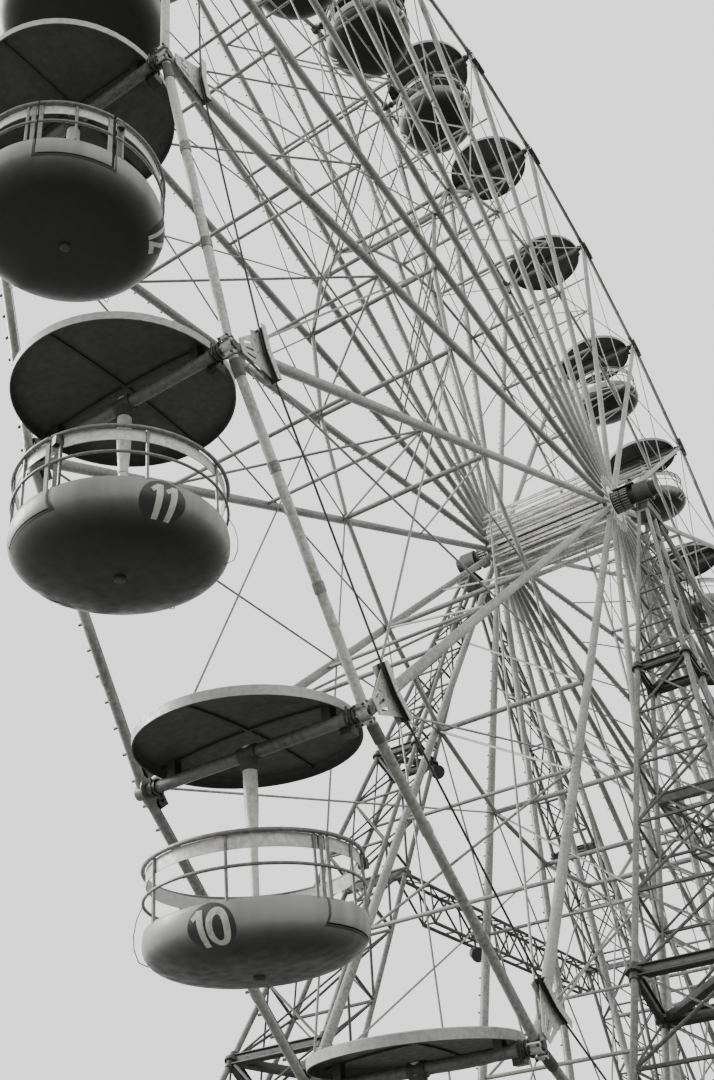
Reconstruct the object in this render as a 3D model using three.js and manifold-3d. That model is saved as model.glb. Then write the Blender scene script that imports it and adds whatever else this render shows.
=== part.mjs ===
import * as THREE from 'three';
import { mergeVertices } from 'three/addons/utils/BufferGeometryUtils.js';
import Module from 'manifold-3d';

// A fairground ferris wheel with round open cars, in millimetres.
// X runs along the wheel's axle, Y across the wheel, Z up.
// The origin lies on the ground, straight below the middle of the hub.
// Two solids that touch keep FIT_GAP between them.

const wasm = await Module();
wasm.setup();

const FIT_GAP = 0.3;

// The wheel
const CAR_COUNT = 24;
const CAR_STEP = 360 / CAR_COUNT;
const FIRST_CAR_ANGLE = -82.05;
const HUB_HEIGHT = 12500;
const PIVOT_RADIUS = 10500;
const RIM_X = 995;
const SIDE = { thick: 86, spoke: 102, rim: 84, flangeRadius: 480 };
const SIDE_INNER_X = RIM_X - SIDE.thick / 2;
const SIDE_OUTER_X = RIM_X + SIDE.thick / 2;

// The middle ring, with a crossbar at each spoke
const RING = { radius: 5387, tube: 54, crossbar: 28 };

// The hub
const DRUM = { ringThick: 30, tube: 34, tubeCircle: 420, tubes: 12 };
const SHAFT = { radius: 125, end: 1730 };
const BORE = SHAFT.radius + 0.4;
const COLLAR = { radius: 185, length: 280 };

// The rope shoes on the right side, and the rope that runs over them
const SHOE = { x: 1070, radius: 10143, halfLength: 215, width: 84, plate: 12 };
const ROPE_RADIUS = 9;

// A car, with heights counted from the middle of its axle
const CAR_SIDES = 12;
const AXLE_RADIUS = 48;
const CANOPY = { radius: 833, underside: 62, edge: 85, crown: 55 };
const POST = { top: 54, bottom: 26, stub: -70 };
const LIP_Z = -1216;
const FLOOR_Z = -1385;
const BOWL_PROFILE = [[0, -1530], [250, -1530], [690, FLOOR_Z], [735, LIP_Z], [700, LIP_Z], [640, FLOOR_Z], [0, FLOOR_Z]];
const TOP_RAIL = { radius: 757, top: -800, bottom: -905, thick: 42 };
const RAIL_POST = { angles: [30, 120], radius: 714, tube: 8 };

// The gate in the bowl's wall, which swings inwards; x is outwards through the gate
const GATE = {
  halfWidth: 268,
  sill: -1366,
  hingeGap: 8,
  latchGap: 24,
  sillGap: 7,
  post: { x0: 650, x1: 705, wide: 34 },
  pad: { x0: 570, x1: 612, wide: 24 },
};

// Which way the gate of each car looks, in degrees about Z; the others look to the front
const GATE_TURN = { 10: 6, 11: -107, 12: -40 };
const FRONT = -90;
const CARS_WITHOUT_BOWL = [19, 20];

// The towers, each an A-frame of two lattice legs that stand on foot plates and meet below the hub.
// The frames inside a leg lie square to it, so each is lower at the inside of the A.
const LEG_TOP = { x: 1518, y: 263, z: 11900, halfX: 62, halfY: 160 };
const LEG_FOOT = { x: 2324, y: 8377, z: 30, halfX: 812, halfY: 444 };
const LEG_LEVELS = [
  { share: 0.01, tilt: 0 },
  { share: 0.3035, tilt: 0.0065 },
  { share: 0.6163, tilt: 0.0133 },
  { share: 0.975, tilt: 0 },
];
const CHORD = 52;
const BRACE = 38;
const FOOT_PLATE = { half: 200, thick: 40 };
const CAP_PLATE = { halfX: 95, halfY: 190, top: 11919.7, thick: 26 };
const HEAD = { low: 11920, high: 12200, halfX: 110, lowY: 450, highY: 240 };
const BEARING = { halfX: 120, halfY: 205, top: 12740 };
const BRIDGE = { share: 0.4448, halfX: 75, depth: 420, panels: 12, chord: 44 };
const BRIDGE_SEAT = { halfX: 440, half: 36, reach: 60 };

const PAINT = new THREE.MeshStandardMaterial({ color: 0xb9bab6, roughness: 0.55, metalness: 0.1 });
const DARK_PAINT = new THREE.MeshStandardMaterial({ color: 0x5b5d5c, roughness: 0.6, metalness: 0.1 });
const STEEL = new THREE.MeshStandardMaterial({ color: 0x6e6f70, roughness: 0.45, metalness: 0.8 });
const ROPE_STEEL = new THREE.MeshStandardMaterial({ color: 0x3a3a3a, roughness: 0.6, metalness: 0.6 });
const CAR_PAINT = new THREE.MeshStandardMaterial({ color: 0xcfd0cc, roughness: 0.4, metalness: 0.05 });

const radians = THREE.MathUtils.degToRad;
const point = (x, y, z) => new THREE.Vector3(x, y, z);

function solid(geometry) {
  const bare = geometry.index ? geometry.toNonIndexed() : geometry.clone();
  bare.deleteAttribute('normal');
  bare.deleteAttribute('uv');
  const merged = mergeVertices(bare, 0.001);
  return new wasm.Manifold(new wasm.Mesh({
    numProp: 3,
    vertProperties: new Float32Array(merged.attributes.position.array),
    triVerts: new Uint32Array(merged.index.array),
  }));
}

function joined(solids) {
  return solids.reduce((whole, piece) => whole.add(piece));
}

function meshOf(name, whole, material) {
  const { vertProperties, triVerts } = whole.getMesh();
  const geometry = new THREE.BufferGeometry();
  geometry.setAttribute('position', new THREE.BufferAttribute(new Float32Array(vertProperties), 3));
  geometry.setIndex(new THREE.BufferAttribute(new Uint32Array(triVerts), 1));
  geometry.computeVertexNormals();
  const mesh = new THREE.Mesh(geometry, material);
  mesh.name = name;
  return mesh;
}

// A regular polygon as large as a circle of radius 1 has its corners this far out.
const sameAreaRadius = (sides) => Math.sqrt((2 * Math.PI) / (sides * Math.sin((2 * Math.PI) / sides)));

// A straight bar of few sides between two points, with as much steel in its section as a round one.
function bar(from, to, radius, sides = 4, endRadius = radius) {
  const along = to.clone().sub(from);
  const out = sameAreaRadius(sides);
  const geometry = new THREE.CylinderGeometry(
    endRadius * out, radius * out, along.length(), sides, 1, false, Math.PI / sides);
  const turn = new THREE.Quaternion().setFromUnitVectors(point(0, 1, 0), along.clone().normalize());
  geometry.applyQuaternion(turn);
  geometry.translate(...from.clone().add(to).multiplyScalar(0.5).toArray());
  return solid(geometry);
}

function block(low, high) {
  const size = high.map((value, axis) => value - low[axis]);
  const geometry = new THREE.BoxGeometry(...size);
  geometry.translate(...low.map((value, axis) => value + size[axis] / 2));
  return solid(geometry);
}

// A round body from radius and height pairs, turned about Z, with a flat side towards X.
function turned(profile, sides) {
  const out = sameAreaRadius(sides);
  const points = profile.map(([radius, z]) => new THREE.Vector2(radius * out, z));
  const geometry = new THREE.LatheGeometry(points, sides, Math.PI / 2 + Math.PI / sides);
  geometry.rotateX(Math.PI / 2);
  return solid(geometry);
}

function discAlongX(x0, x1, radius, sides = CAR_COUNT) {
  const geometry = new THREE.CylinderGeometry(radius, radius, Math.abs(x1 - x0), sides, 1);
  geometry.rotateZ(Math.PI / 2);
  geometry.translate((x0 + x1) / 2, 0, 0);
  return solid(geometry);
}

// A disc between two places on X, with a round hole for the shaft.
function flangeAlongX(x0, x1, radius) {
  return discAlongX(x0, x1, radius).subtract(discAlongX(Math.min(x0, x1) - 1, Math.max(x0, x1) + 1, BORE));
}

// Angles on the wheel are counted from straight down towards the front.
function onWheel(x, radius, angle) {
  const a = radians(angle);
  return point(x, -radius * Math.sin(a), -radius * Math.cos(a));
}

const EVERY_CAR = [...Array(CAR_COUNT).keys()];
const carAngle = (index) => FIRST_CAR_ANGLE + CAR_STEP * index;

// A shoe is a plate bent to both straights of the rope, welded to the outside of its spoke.
function ropeShoe(angle) {
  const { x, radius, halfLength, width, plate } = SHOE;
  const low = ROPE_RADIUS + FIT_GAP;
  const rise = halfLength * Math.tan(radians(CAR_STEP / 2));
  const bend = new THREE.Shape([
    new THREE.Vector2(0, low),
    new THREE.Vector2(halfLength, low + rise),
    new THREE.Vector2(halfLength, low + rise + plate),
    new THREE.Vector2(-halfLength, low + rise + plate),
    new THREE.Vector2(-halfLength, low + rise),
  ]);
  const [, y, z] = onWheel(0, radius, angle).toArray();
  return extrudedAlongX(bend, x - width / 2, x + width / 2).rotate([-angle, 0, 0]).translate([0, y, z]);
}

// A flat outline in the plane of the wheel from pairs of angle and radius
function wheelOutline(corners) {
  return corners.slice().reverse().map(([angle, radius]) => {
    const { y, z } = onWheel(0, radius, angle);
    return new THREE.Vector2(y, z);
  });
}

function extrudedAlongX(shape, x0, x1) {
  const geometry = new THREE.ExtrudeGeometry(shape, { depth: x1 - x0, bevelEnabled: false });
  geometry.applyMatrix4(new THREE.Matrix4().set(0, 0, 1, x0, 1, 0, 0, 0, 0, 1, 0, 0, 0, 0, 0, 1));
  return solid(geometry);
}

// The sector between two spokes, from the hub flange to the rim
function sectorHole(angle) {
  const halfSpoke = SIDE.spoke / 2;
  const besideSpoke = (radius) => THREE.MathUtils.radToDeg(Math.asin(halfSpoke / radius));
  const beside = besideSpoke(SIDE.flangeRadius);
  const across = radians(CAR_STEP / 2);
  const rimInside = (PIVOT_RADIUS * Math.cos(across) - SIDE.rim / 2) / Math.cos(across);
  const corner = rimInside - halfSpoke * Math.tan(across);
  const [near, far] = [angle, angle + CAR_STEP];
  return new THREE.Path(wheelOutline([
    [near + beside, SIDE.flangeRadius],
    [near + besideSpoke(corner), corner],
    [far - besideSpoke(corner), corner],
    [far - beside, SIDE.flangeRadius],
  ]));
}

// One flat side of the wheel: hub flange, spokes and rim, and on the right the shoes
function wheelSide(side) {
  const outside = PIVOT_RADIUS + SIDE.rim / 2;
  const shape = new THREE.Shape(wheelOutline(EVERY_CAR.map((index) => [carAngle(index), outside])));
  shape.holes = EVERY_CAR.map((index) => sectorHole(carAngle(index)));
  shape.holes.push(new THREE.Path(wheelOutline(EVERY_CAR.map((index) => [CAR_STEP * index, BORE]))));
  const [x0, x1] = side > 0 ? [SIDE_INNER_X, SIDE_OUTER_X] : [-SIDE_OUTER_X, -SIDE_INNER_X];
  const shoes = side > 0 ? EVERY_CAR.map((index) => ropeShoe(carAngle(index))) : [];
  return joined([extrudedAlongX(shape, x0, x1), ...shoes]);
}

// A closed ring of straight bars with a corner at every spoke
function polygonRing(x0, x1, radius, half) {
  const outline = (distance) => wheelOutline(EVERY_CAR.map((index) => [carAngle(index), distance]));
  const shape = new THREE.Shape(outline(radius + half));
  shape.holes = [new THREE.Path(outline(radius - half))];
  return extrudedAlongX(shape, x0, x1);
}

// Two rings of tube half way out, held apart by a crossbar at every spoke
function middleRing() {
  const outer = SIDE_INNER_X - FIT_GAP;
  const inner = outer - RING.tube;
  const { radius, tube, crossbar } = RING;
  const halfOpen = radius * Math.sin(radians(CAR_STEP / 2)) - crossbar;
  const low = -radius - tube;
  const high = -radius * Math.cos(radians(CAR_STEP)) + tube;
  return EVERY_CAR.reduce((whole, index) => {
    const open = block([-inner, -halfOpen, low], [inner, halfOpen, high]);
    return whole.subtract(open.rotate([-carAngle(index) - CAR_STEP / 2, 0, 0]));
  }, polygonRing(-outer, outer, radius, tube / 2));
}

// The open drum between the two hub flanges
function hubDrum() {
  const face = SIDE_INNER_X - FIT_GAP;
  const rings = [-1, 1].map((side) => (
    flangeAlongX(side * (face - DRUM.ringThick), side * face, SIDE.flangeRadius)));
  const tubes = [...Array(DRUM.tubes).keys()].map((index) => {
    const angle = (360 / DRUM.tubes) * index;
    const reach = face - DRUM.ringThick / 2;
    return bar(onWheel(-reach, DRUM.tubeCircle, angle), onWheel(reach, DRUM.tubeCircle, angle), DRUM.tube);
  });
  return joined([...rings, ...tubes]);
}

function hubCollar(side) {
  const start = side * (SIDE_OUTER_X + FIT_GAP);
  return flangeAlongX(start, start + side * COLLAR.length, COLLAR.radius);
}

// The rope is one closed loop with a corner at every shoe.
function driveRope() {
  return polygonRing(SHOE.x - ROPE_RADIUS, SHOE.x + ROPE_RADIUS, SHOE.radius, ROPE_RADIUS);
}

// The canopy, the axle that carries it, and the post that hangs from both
function canopyOnAxle(postEnd) {
  const axleEnd = SIDE_INNER_X - FIT_GAP;
  const { radius, underside, edge, crown } = CANOPY;
  const cover = turned(
    [[0, underside], [radius, underside], [radius, underside + edge], [0, underside + edge + crown]],
    CAR_SIDES,
  );
  const post = bar(point(0, 0, postEnd), point(0, 0, underside + 10), POST.bottom, 4, POST.top);
  return joined([cover, discAlongX(-axleEnd, axleEnd, AXLE_RADIUS, 6), post]);
}

function railBand() {
  const { radius, top, bottom, thick } = TOP_RAIL;
  const inner = radius - thick;
  return turned([[radius, bottom], [radius, top], [inner, top], [inner, bottom], [radius, bottom]], CAR_SIDES);
}

function railPosts() {
  const { angles, radius, tube } = RAIL_POST;
  return angles.flatMap((angle) => [-angle, angle]).map((angle) => {
    const x = radius * Math.cos(radians(angle));
    const y = radius * Math.sin(radians(angle));
    return bar(point(x, y, LIP_Z - 20), point(x, y, TOP_RAIL.bottom + 20), tube, 3);
  });
}

function bowlWithRail() {
  return joined([turned(BOWL_PROFILE, CAR_SIDES), railBand(), ...railPosts()]);
}

function gateCut() {
  const { halfWidth, sill, hingeGap, latchGap, sillGap } = GATE;
  return block([300, -halfWidth - hingeGap, sill - sillGap], [900, halfWidth + latchGap, 0]);
}

// The pad under the hinge corner carries the gate.
function hingePad() {
  const { halfWidth, sill, hingeGap, pad } = GATE;
  const edge = -halfWidth - hingeGap;
  return block([pad.x0, edge, sill - 20], [pad.x1, edge + pad.wide, sill - FIT_GAP]);
}

function gateLeaf() {
  const { halfWidth, sill, post } = GATE;
  const window = block([300, -halfWidth, sill], [900, halfWidth, 0]);
  const posts = [-1, 1].map((side) => {
    const outer = side * halfWidth;
    const inner = side * (halfWidth - post.wide);
    return block(
      [post.x0, Math.min(outer, inner), LIP_Z - 60],
      [post.x1, Math.max(outer, inner), TOP_RAIL.top - 10],
    );
  });
  const skin = joined([turned(BOWL_PROFILE, CAR_SIDES), railBand()]).intersect(window);
  return joined([skin, ...posts]);
}

function lerp(from, to, share) {
  return from + (to - from) * share;
}

// A place in a leg at a share of its length; u and v are -1 or 1 at its edges towards X and Y
function legPlace(sx, sy, u, v, share, grow = 0) {
  const x = sx * lerp(LEG_TOP.x, LEG_FOOT.x, share) + u * (lerp(LEG_TOP.halfX, LEG_FOOT.halfX, share) + grow);
  const y = sy * lerp(LEG_TOP.y, LEG_FOOT.y, share) + v * (lerp(LEG_TOP.halfY, LEG_FOOT.halfY, share) + grow);
  return point(x, y, lerp(LEG_TOP.z, LEG_FOOT.z, share));
}

const LEG_CORNERS = [[-1, -1], [1, -1], [1, 1], [-1, 1]];
const WINDOW_REACH = 1.6;

// The open triangle that bars along its three sides leave
function insideOf(corners, barHalf) {
  const [a, b, c] = corners;
  const sides = [b.distanceTo(c), c.distanceTo(a), a.distanceTo(b)];
  const around = sides[0] + sides[1] + sides[2];
  const middle = a.clone().multiplyScalar(0);
  corners.forEach((corner, index) => middle.addScaledVector(corner, sides[index] / around));
  const area = Math.sqrt(sides.reduce((product, side) => product * (around / 2 - side), around / 2));
  return corners.map((corner) => middle.clone().lerp(corner, 1 - (barHalf * around) / (2 * area)));
}

// A block whose corners are moved to wherever place(u, v, w) puts them, each of the three being -1 or 1
function shapedBlock(place) {
  const geometry = new THREE.BoxGeometry(2, 2, 2);
  const { position } = geometry.attributes;
  for (let index = 0; index < position.count; index += 1) {
    const corner = place(position.getX(index), position.getY(index), position.getZ(index));
    position.setXYZ(index, corner.x, corner.y, corner.z);
  }
  return solid(geometry);
}

// A block with three sides from one triangle to another that faces it
function wedge(from, to) {
  const geometry = new THREE.BufferGeometry().setFromPoints([...from, ...to]);
  const turn = (face) => face.slice().reverse();
  const faces = [[0, 2, 1], [3, 4, 5], [0, 1, 4], [0, 4, 3], [1, 2, 5], [1, 5, 4], [2, 0, 3], [2, 3, 5]];
  const ahead = to[0].clone().sub(from[0]);
  const facing = from[1].clone().sub(from[0]).cross(from[2].clone().sub(from[0])).dot(ahead) > 0;
  geometry.setIndex((facing ? faces : faces.map(turn)).flat());
  return solid(geometry);
}

// The windows in two opposite sides of a leg, two in each bay with a diagonal bar between them.
// place(across, depth, level) takes across and depth as -1 or 1 at the edges of a side.
function legWindows(place) {
  const windows = [];
  LEG_LEVELS.slice(1).forEach((low, index) => {
    const top = LEG_LEVELS[index];
    for (const corners of [[[-1, top], [1, low], [-1, low]], [[-1, top], [1, top], [1, low]]]) {
      const [from, to] = [-WINDOW_REACH, WINDOW_REACH].map((depth) => (
        insideOf(corners.map(([across, level]) => place(across, depth, level)), BRACE / 2)));
      windows.push(wedge(from, to));
    }
  });
  return windows;
}

// A leg is a tapered tower of four latticed sides on four foot plates.
function latticeLeg(sx, sy) {
  const shell = (grow, top, low) => shapedBlock((u, v, w) => legPlace(sx, sy, u, v, w > 0 ? top : low, grow));
  const inFrame = (out, away, { share, tilt }) => (
    legPlace(sx, sy, sx * out, sy * away, share - tilt * away));
  const windows = [
    ...legWindows((across, depth, level) => inFrame(across, depth, level)),
    ...legWindows((across, depth, level) => inFrame(depth, across, level)),
  ];
  const sides = [shell(2 - BRACE / 2, -0.05, 1.05), ...windows].reduce(
    (whole, open) => whole.subtract(open),
    shell(CHORD / 2, 0, 1),
  );
  const plates = LEG_CORNERS.map(([u, v]) => {
    const { x, y } = legPlace(sx, sy, u, v, 1);
    const { half: reach, thick } = FOOT_PLATE;
    return block([x - reach, y - reach, 0], [x + reach, y + reach, thick]);
  });
  return joined([sides, bridgeSeat(sx, sy), legCap(sx, sy), ...plates]);
}

function legCap(sx, sy) {
  const { halfX, halfY, top, thick } = CAP_PLATE;
  const [x, y] = [sx * LEG_TOP.x, sy * LEG_TOP.y];
  return block([x - halfX, y - halfY, top - thick], [x + halfX, y + halfY, top]);
}

// The bar across the leg's inner face that the bridge meets
function bridgeSeat(sx, sy) {
  const place = legPlace(sx, sy, 0, -sy, BRIDGE.share);
  const { halfX, half, reach } = BRIDGE_SEAT;
  const inner = place.y - sy * reach;
  const outer = place.y + sy * half;
  return block(
    [place.x - halfX, Math.min(inner, outer), place.z - half],
    [place.x + halfX, Math.max(inner, outer), place.z + half],
  );
}

// A narrow lattice beam that ties the two legs of a tower together half way up.
// It crosses from the inner edge of the near leg to the outer edge of the far leg.
function latticeBridge(sx) {
  const place = legPlace(sx, 1, 0, -1, BRIDGE.share);
  const { halfX, depth, panels, chord } = BRIDGE;
  const half = chord / 2;
  const end = place.y - BRIDGE_SEAT.reach - FIT_GAP;
  const sideways = lerp(LEG_TOP.halfX, LEG_FOOT.halfX, BRIDGE.share) - halfX;
  const reach = Math.hypot(end, sideways);
  const nodes = [...Array(panels + 1).keys()].map((index) => (
    new THREE.Vector2(-reach + (2 * reach * index) / panels, place.z - (index % 2) * depth)));
  const [first, last] = [nodes[1], nodes[panels - 1]];
  const shape = new THREE.Shape([
    nodes[0].clone().add(new THREE.Vector2(-half, -half)),
    first.clone().add(new THREE.Vector2(-half, -half)),
    last.clone().add(new THREE.Vector2(half, -half)),
    nodes[panels].clone().add(new THREE.Vector2(half, -half)),
    nodes[panels].clone().add(new THREE.Vector2(half, half)),
    nodes[0].clone().add(new THREE.Vector2(-half, half)),
  ]);
  const panes = nodes.slice(0, -2).map((node, index) => (
    insideOf([node, nodes[index + 1], nodes[index + 2]], half)));
  const faces = [-1, 1].map((side) => {
    const x = side * halfX;
    const plate = extrudedAlongX(shape, x - half, x + half);
    return panes.reduce((whole, pane) => (
      whole.subtract(extrudedAlongX(new THREE.Shape(pane), x - chord, x + chord))), plate);
  });
  const ties = nodes.map(({ x, y }) => block([-halfX, x - half, y - half], [halfX, x + half, y + half]));
  const turn = THREE.MathUtils.radToDeg(Math.atan2(sideways, end));
  const between = block([place.x - 2 * reach, -end, 0], [place.x + 2 * reach, end, HUB_HEIGHT]);
  return joined([...faces, ...ties]).rotate([0, 0, -sx * turn]).translate([place.x, 0, 0]).intersect(between);
}

// The head lies across the tops of both legs, and carries the bearing.
function towerHead(side) {
  const { low, high, halfX, lowY, highY } = HEAD;
  return shapedBlock((u, v, w) => (
    point(side * LEG_TOP.x + u * halfX, v * (w > 0 ? highY : lowY), w > 0 ? high : low)));
}

function hubBearing(side) {
  const { halfX, halfY, top } = BEARING;
  const x = side * LEG_TOP.x;
  const housing = block([x - halfX, -halfY, HEAD.high + FIT_GAP], [x + halfX, halfY, top]);
  const hole = discAlongX(x - halfX - 1, x + halfX + 1, BORE, 2 * CAR_COUNT).translate([0, 0, HUB_HEIGHT]);
  return housing.subtract(hole);
}

const ferrisWheel = new THREE.Group();
const wheel = new THREE.Group();
wheel.position.set(0, 0, HUB_HEIGHT);
ferrisWheel.add(wheel);

const SIDE_NAMES = [['left', -1], ['right', 1]];
const END_NAMES = [['near', -1], ['far', 1]];

for (const [sideName, sx] of SIDE_NAMES) {
  for (const [endName, sy] of END_NAMES) {
    ferrisWheel.add(meshOf(`${endName}_${sideName}_leg`, latticeLeg(sx, sy), PAINT));
  }
  ferrisWheel.add(meshOf(`${sideName}_bridge`, latticeBridge(sx), DARK_PAINT));
  ferrisWheel.add(meshOf(`${sideName}_tower_head`, towerHead(sx), DARK_PAINT));
  ferrisWheel.add(meshOf(`${sideName}_bearing`, hubBearing(sx), STEEL));
  wheel.add(meshOf(`${sideName}_wheel_side`, wheelSide(sx), PAINT));
  wheel.add(meshOf(`${sideName}_hub_collar`, hubCollar(sx), STEEL));
}
wheel.add(meshOf('middle_ring', middleRing(), PAINT));
wheel.add(meshOf('hub_drum', hubDrum(), PAINT));
wheel.add(meshOf('hub_shaft', discAlongX(-SHAFT.end, SHAFT.end, SHAFT.radius), STEEL));
wheel.add(meshOf('drive_rope', driveRope(), ROPE_STEEL));

for (const index of EVERY_CAR) {
  const number = index + 1;
  const label = String(number).padStart(2, '0');
  const turn = GATE_TURN[number] ?? FRONT;
  const hasGate = number in GATE_TURN;
  const hasBowl = !CARS_WITHOUT_BOWL.includes(number);
  const pieces = [canopyOnAxle(hasBowl ? FLOOR_Z - 10 : POST.stub)];
  if (hasBowl) {
    const bowl = bowlWithRail();
    const body = hasGate ? bowl.subtract(gateCut()).add(hingePad()) : bowl;
    pieces.push(body.rotate([0, 0, turn]));
  }
  const place = onWheel(0, PIVOT_RADIUS, carAngle(index));
  const car = meshOf(`car_${label}`, joined(pieces), CAR_PAINT);
  car.position.copy(place);
  wheel.add(car);
  if (hasGate) {
    const gate = meshOf(`gate_${label}`, gateLeaf(), CAR_PAINT);
    gate.position.copy(place);
    gate.rotation.z = radians(turn);
    wheel.add(gate);
  }
}

export default ferrisWheel;
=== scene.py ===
# %% [markdown]
# # A fairground wheel with round open cars
# The CAD part gives the bodies, joints and sizes. Here each of its plain solids gets its real dress:
# round tubes, welded rungs, thin rods, railings, gates and paint. Everything is in metres, with X along
# the wheel's axle, Y across the wheel and Z up, and the origin on the ground below the hub.

import math

import bpy
from mathutils import Matrix, Vector


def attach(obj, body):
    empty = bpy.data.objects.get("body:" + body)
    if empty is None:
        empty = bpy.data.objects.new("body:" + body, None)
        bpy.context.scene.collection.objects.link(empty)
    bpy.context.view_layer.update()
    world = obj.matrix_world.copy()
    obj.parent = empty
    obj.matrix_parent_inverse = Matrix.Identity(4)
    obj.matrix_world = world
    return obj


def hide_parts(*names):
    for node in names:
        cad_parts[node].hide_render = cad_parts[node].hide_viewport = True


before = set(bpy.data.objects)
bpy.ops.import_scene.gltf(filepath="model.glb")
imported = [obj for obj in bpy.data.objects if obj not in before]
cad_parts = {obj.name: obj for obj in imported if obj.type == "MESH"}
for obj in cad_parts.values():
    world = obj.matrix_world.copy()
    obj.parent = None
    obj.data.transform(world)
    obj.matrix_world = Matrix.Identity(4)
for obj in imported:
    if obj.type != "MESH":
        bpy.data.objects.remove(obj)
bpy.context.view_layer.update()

# %% [markdown]
# ## Sizes
# The wheel has 24 spokes on each side, one for every car. Angles on the wheel are counted from straight
# down towards the front, as in the CAD source: car 6 hangs lowest, and car 10 is at 53 degrees.

# %% Sizes of the wheel, the cars and the towers
SIDES = (("left", -1), ("right", 1))
CAR_COUNT = 24
STEP = 360 / CAR_COUNT
REST_TURN = -97.05
FIRST_CAR = STEP + REST_TURN
HUB_HEIGHT = 12.5
PIVOT_RADIUS = 10.5
SIDE_X = 0.995
SPOKE_ROOT = {"x": 1.0, "radius": 0.3}
RIM_TUBE = 0.038
SPOKE_TUBE = 0.0475
RING_RADIUS = 5.387
RING_TUBE = 0.029
RUNG_CIRCLES = (RING_RADIUS, 7.09, 8.715)
RUNG_TUBES = (0.031, 0.02, 0.02)
RUNG_HALF = 0.94
TIE = {"root": 3.2, "thick": 0.014}
ROD = 0.011
FLANGE = {"radius": 0.48, "thick": 0.014, "x": (0.955, 1.03)}
# Each ring of the hub's rods has a radius, a thickness and a turn from the spokes.
HUB_RODS = ((0.62, 0.019, 0), (0.455, 0.021, STEP / 2), (0.3, 0.019, 0))
HUB_ROD_HALF = 0.96
FLANGE_BOLT = {"circle": 0.44, "radius": 0.013, "x": (0.945, 1.037)}
ROPE_RADIUS = 10.143
ROPE_X = 1.07

CANOPY_RADIUS = 0.833
LIP = (0.735, -1.216)
FLOOR = -1.385
GATE_HALF = 0.268
GATE_TURN = {10: 6, 11: -107, 12: -40}
FRONT = -90
CARS_WITHOUT_BOWL = (19, 20)

LEG_TOP = {"x": 1.518, "y": 0.263, "z": 11.9, "half": Vector((0.062, 0.16))}
LEG_FOOT = {"x": 2.324, "y": 8.377, "z": 0.03, "half": Vector((0.812, 0.444))}
FRAME_LEVELS = (0.3035, 0.6163)
FRAME_TILT = 0.0215
PANEL_SHARE = 0.0625


def on_wheel(x, radius, degrees):
    """A place on the wheel, by its distance from the axle and its angle."""
    a = math.radians(degrees)
    return Vector((x, -radius * math.sin(a), HUB_HEIGHT - radius * math.cos(a)))


def car_angle(number):
    return FIRST_CAR + STEP * (number - 1)


def car_pivot(number):
    return on_wheel(0, PIVOT_RADIUS, car_angle(number))


print("lowest car pivot", min(car_pivot(n).z for n in range(1, CAR_COUNT + 1)))

# %% [markdown]
# ## Paint and steel
# Old machine paint is an alkyd enamel brushed over steel. It has a soft gloss, and dust and rain leave
# broad faint stains on it. Each finish here is one Principled shader whose colour wanders a little with
# two noises on Object coordinates: broad stains, and fine dust.

# %% What every finish is made of
# The near black that painted shade darkens downward faces towards.
SHADE_BLACK = "#151514"


def linear(hex_colour):
    """An sRGB hex colour as linear values with alpha."""
    channels = [int(hex_colour[i : i + 2], 16) / 255 for i in (1, 3, 5)]
    return [c / 12.92 if c < 0.04045 else ((c + 0.055) / 1.055) ** 2.4 for c in channels] + [1.0]


def add_node(tree, kind, inputs=None, **settings):
    """A shader node with its settings, and its inputs as values or as sockets to link from."""
    made = tree.nodes.new(kind)
    for name, value in settings.items():
        setattr(made, name, value)
    for name, value in (inputs or {}).items():
        if isinstance(value, bpy.types.NodeSocket):
            tree.links.new(value, made.inputs[name])
        else:
            made.inputs[name].default_value = value
    return made


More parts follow.
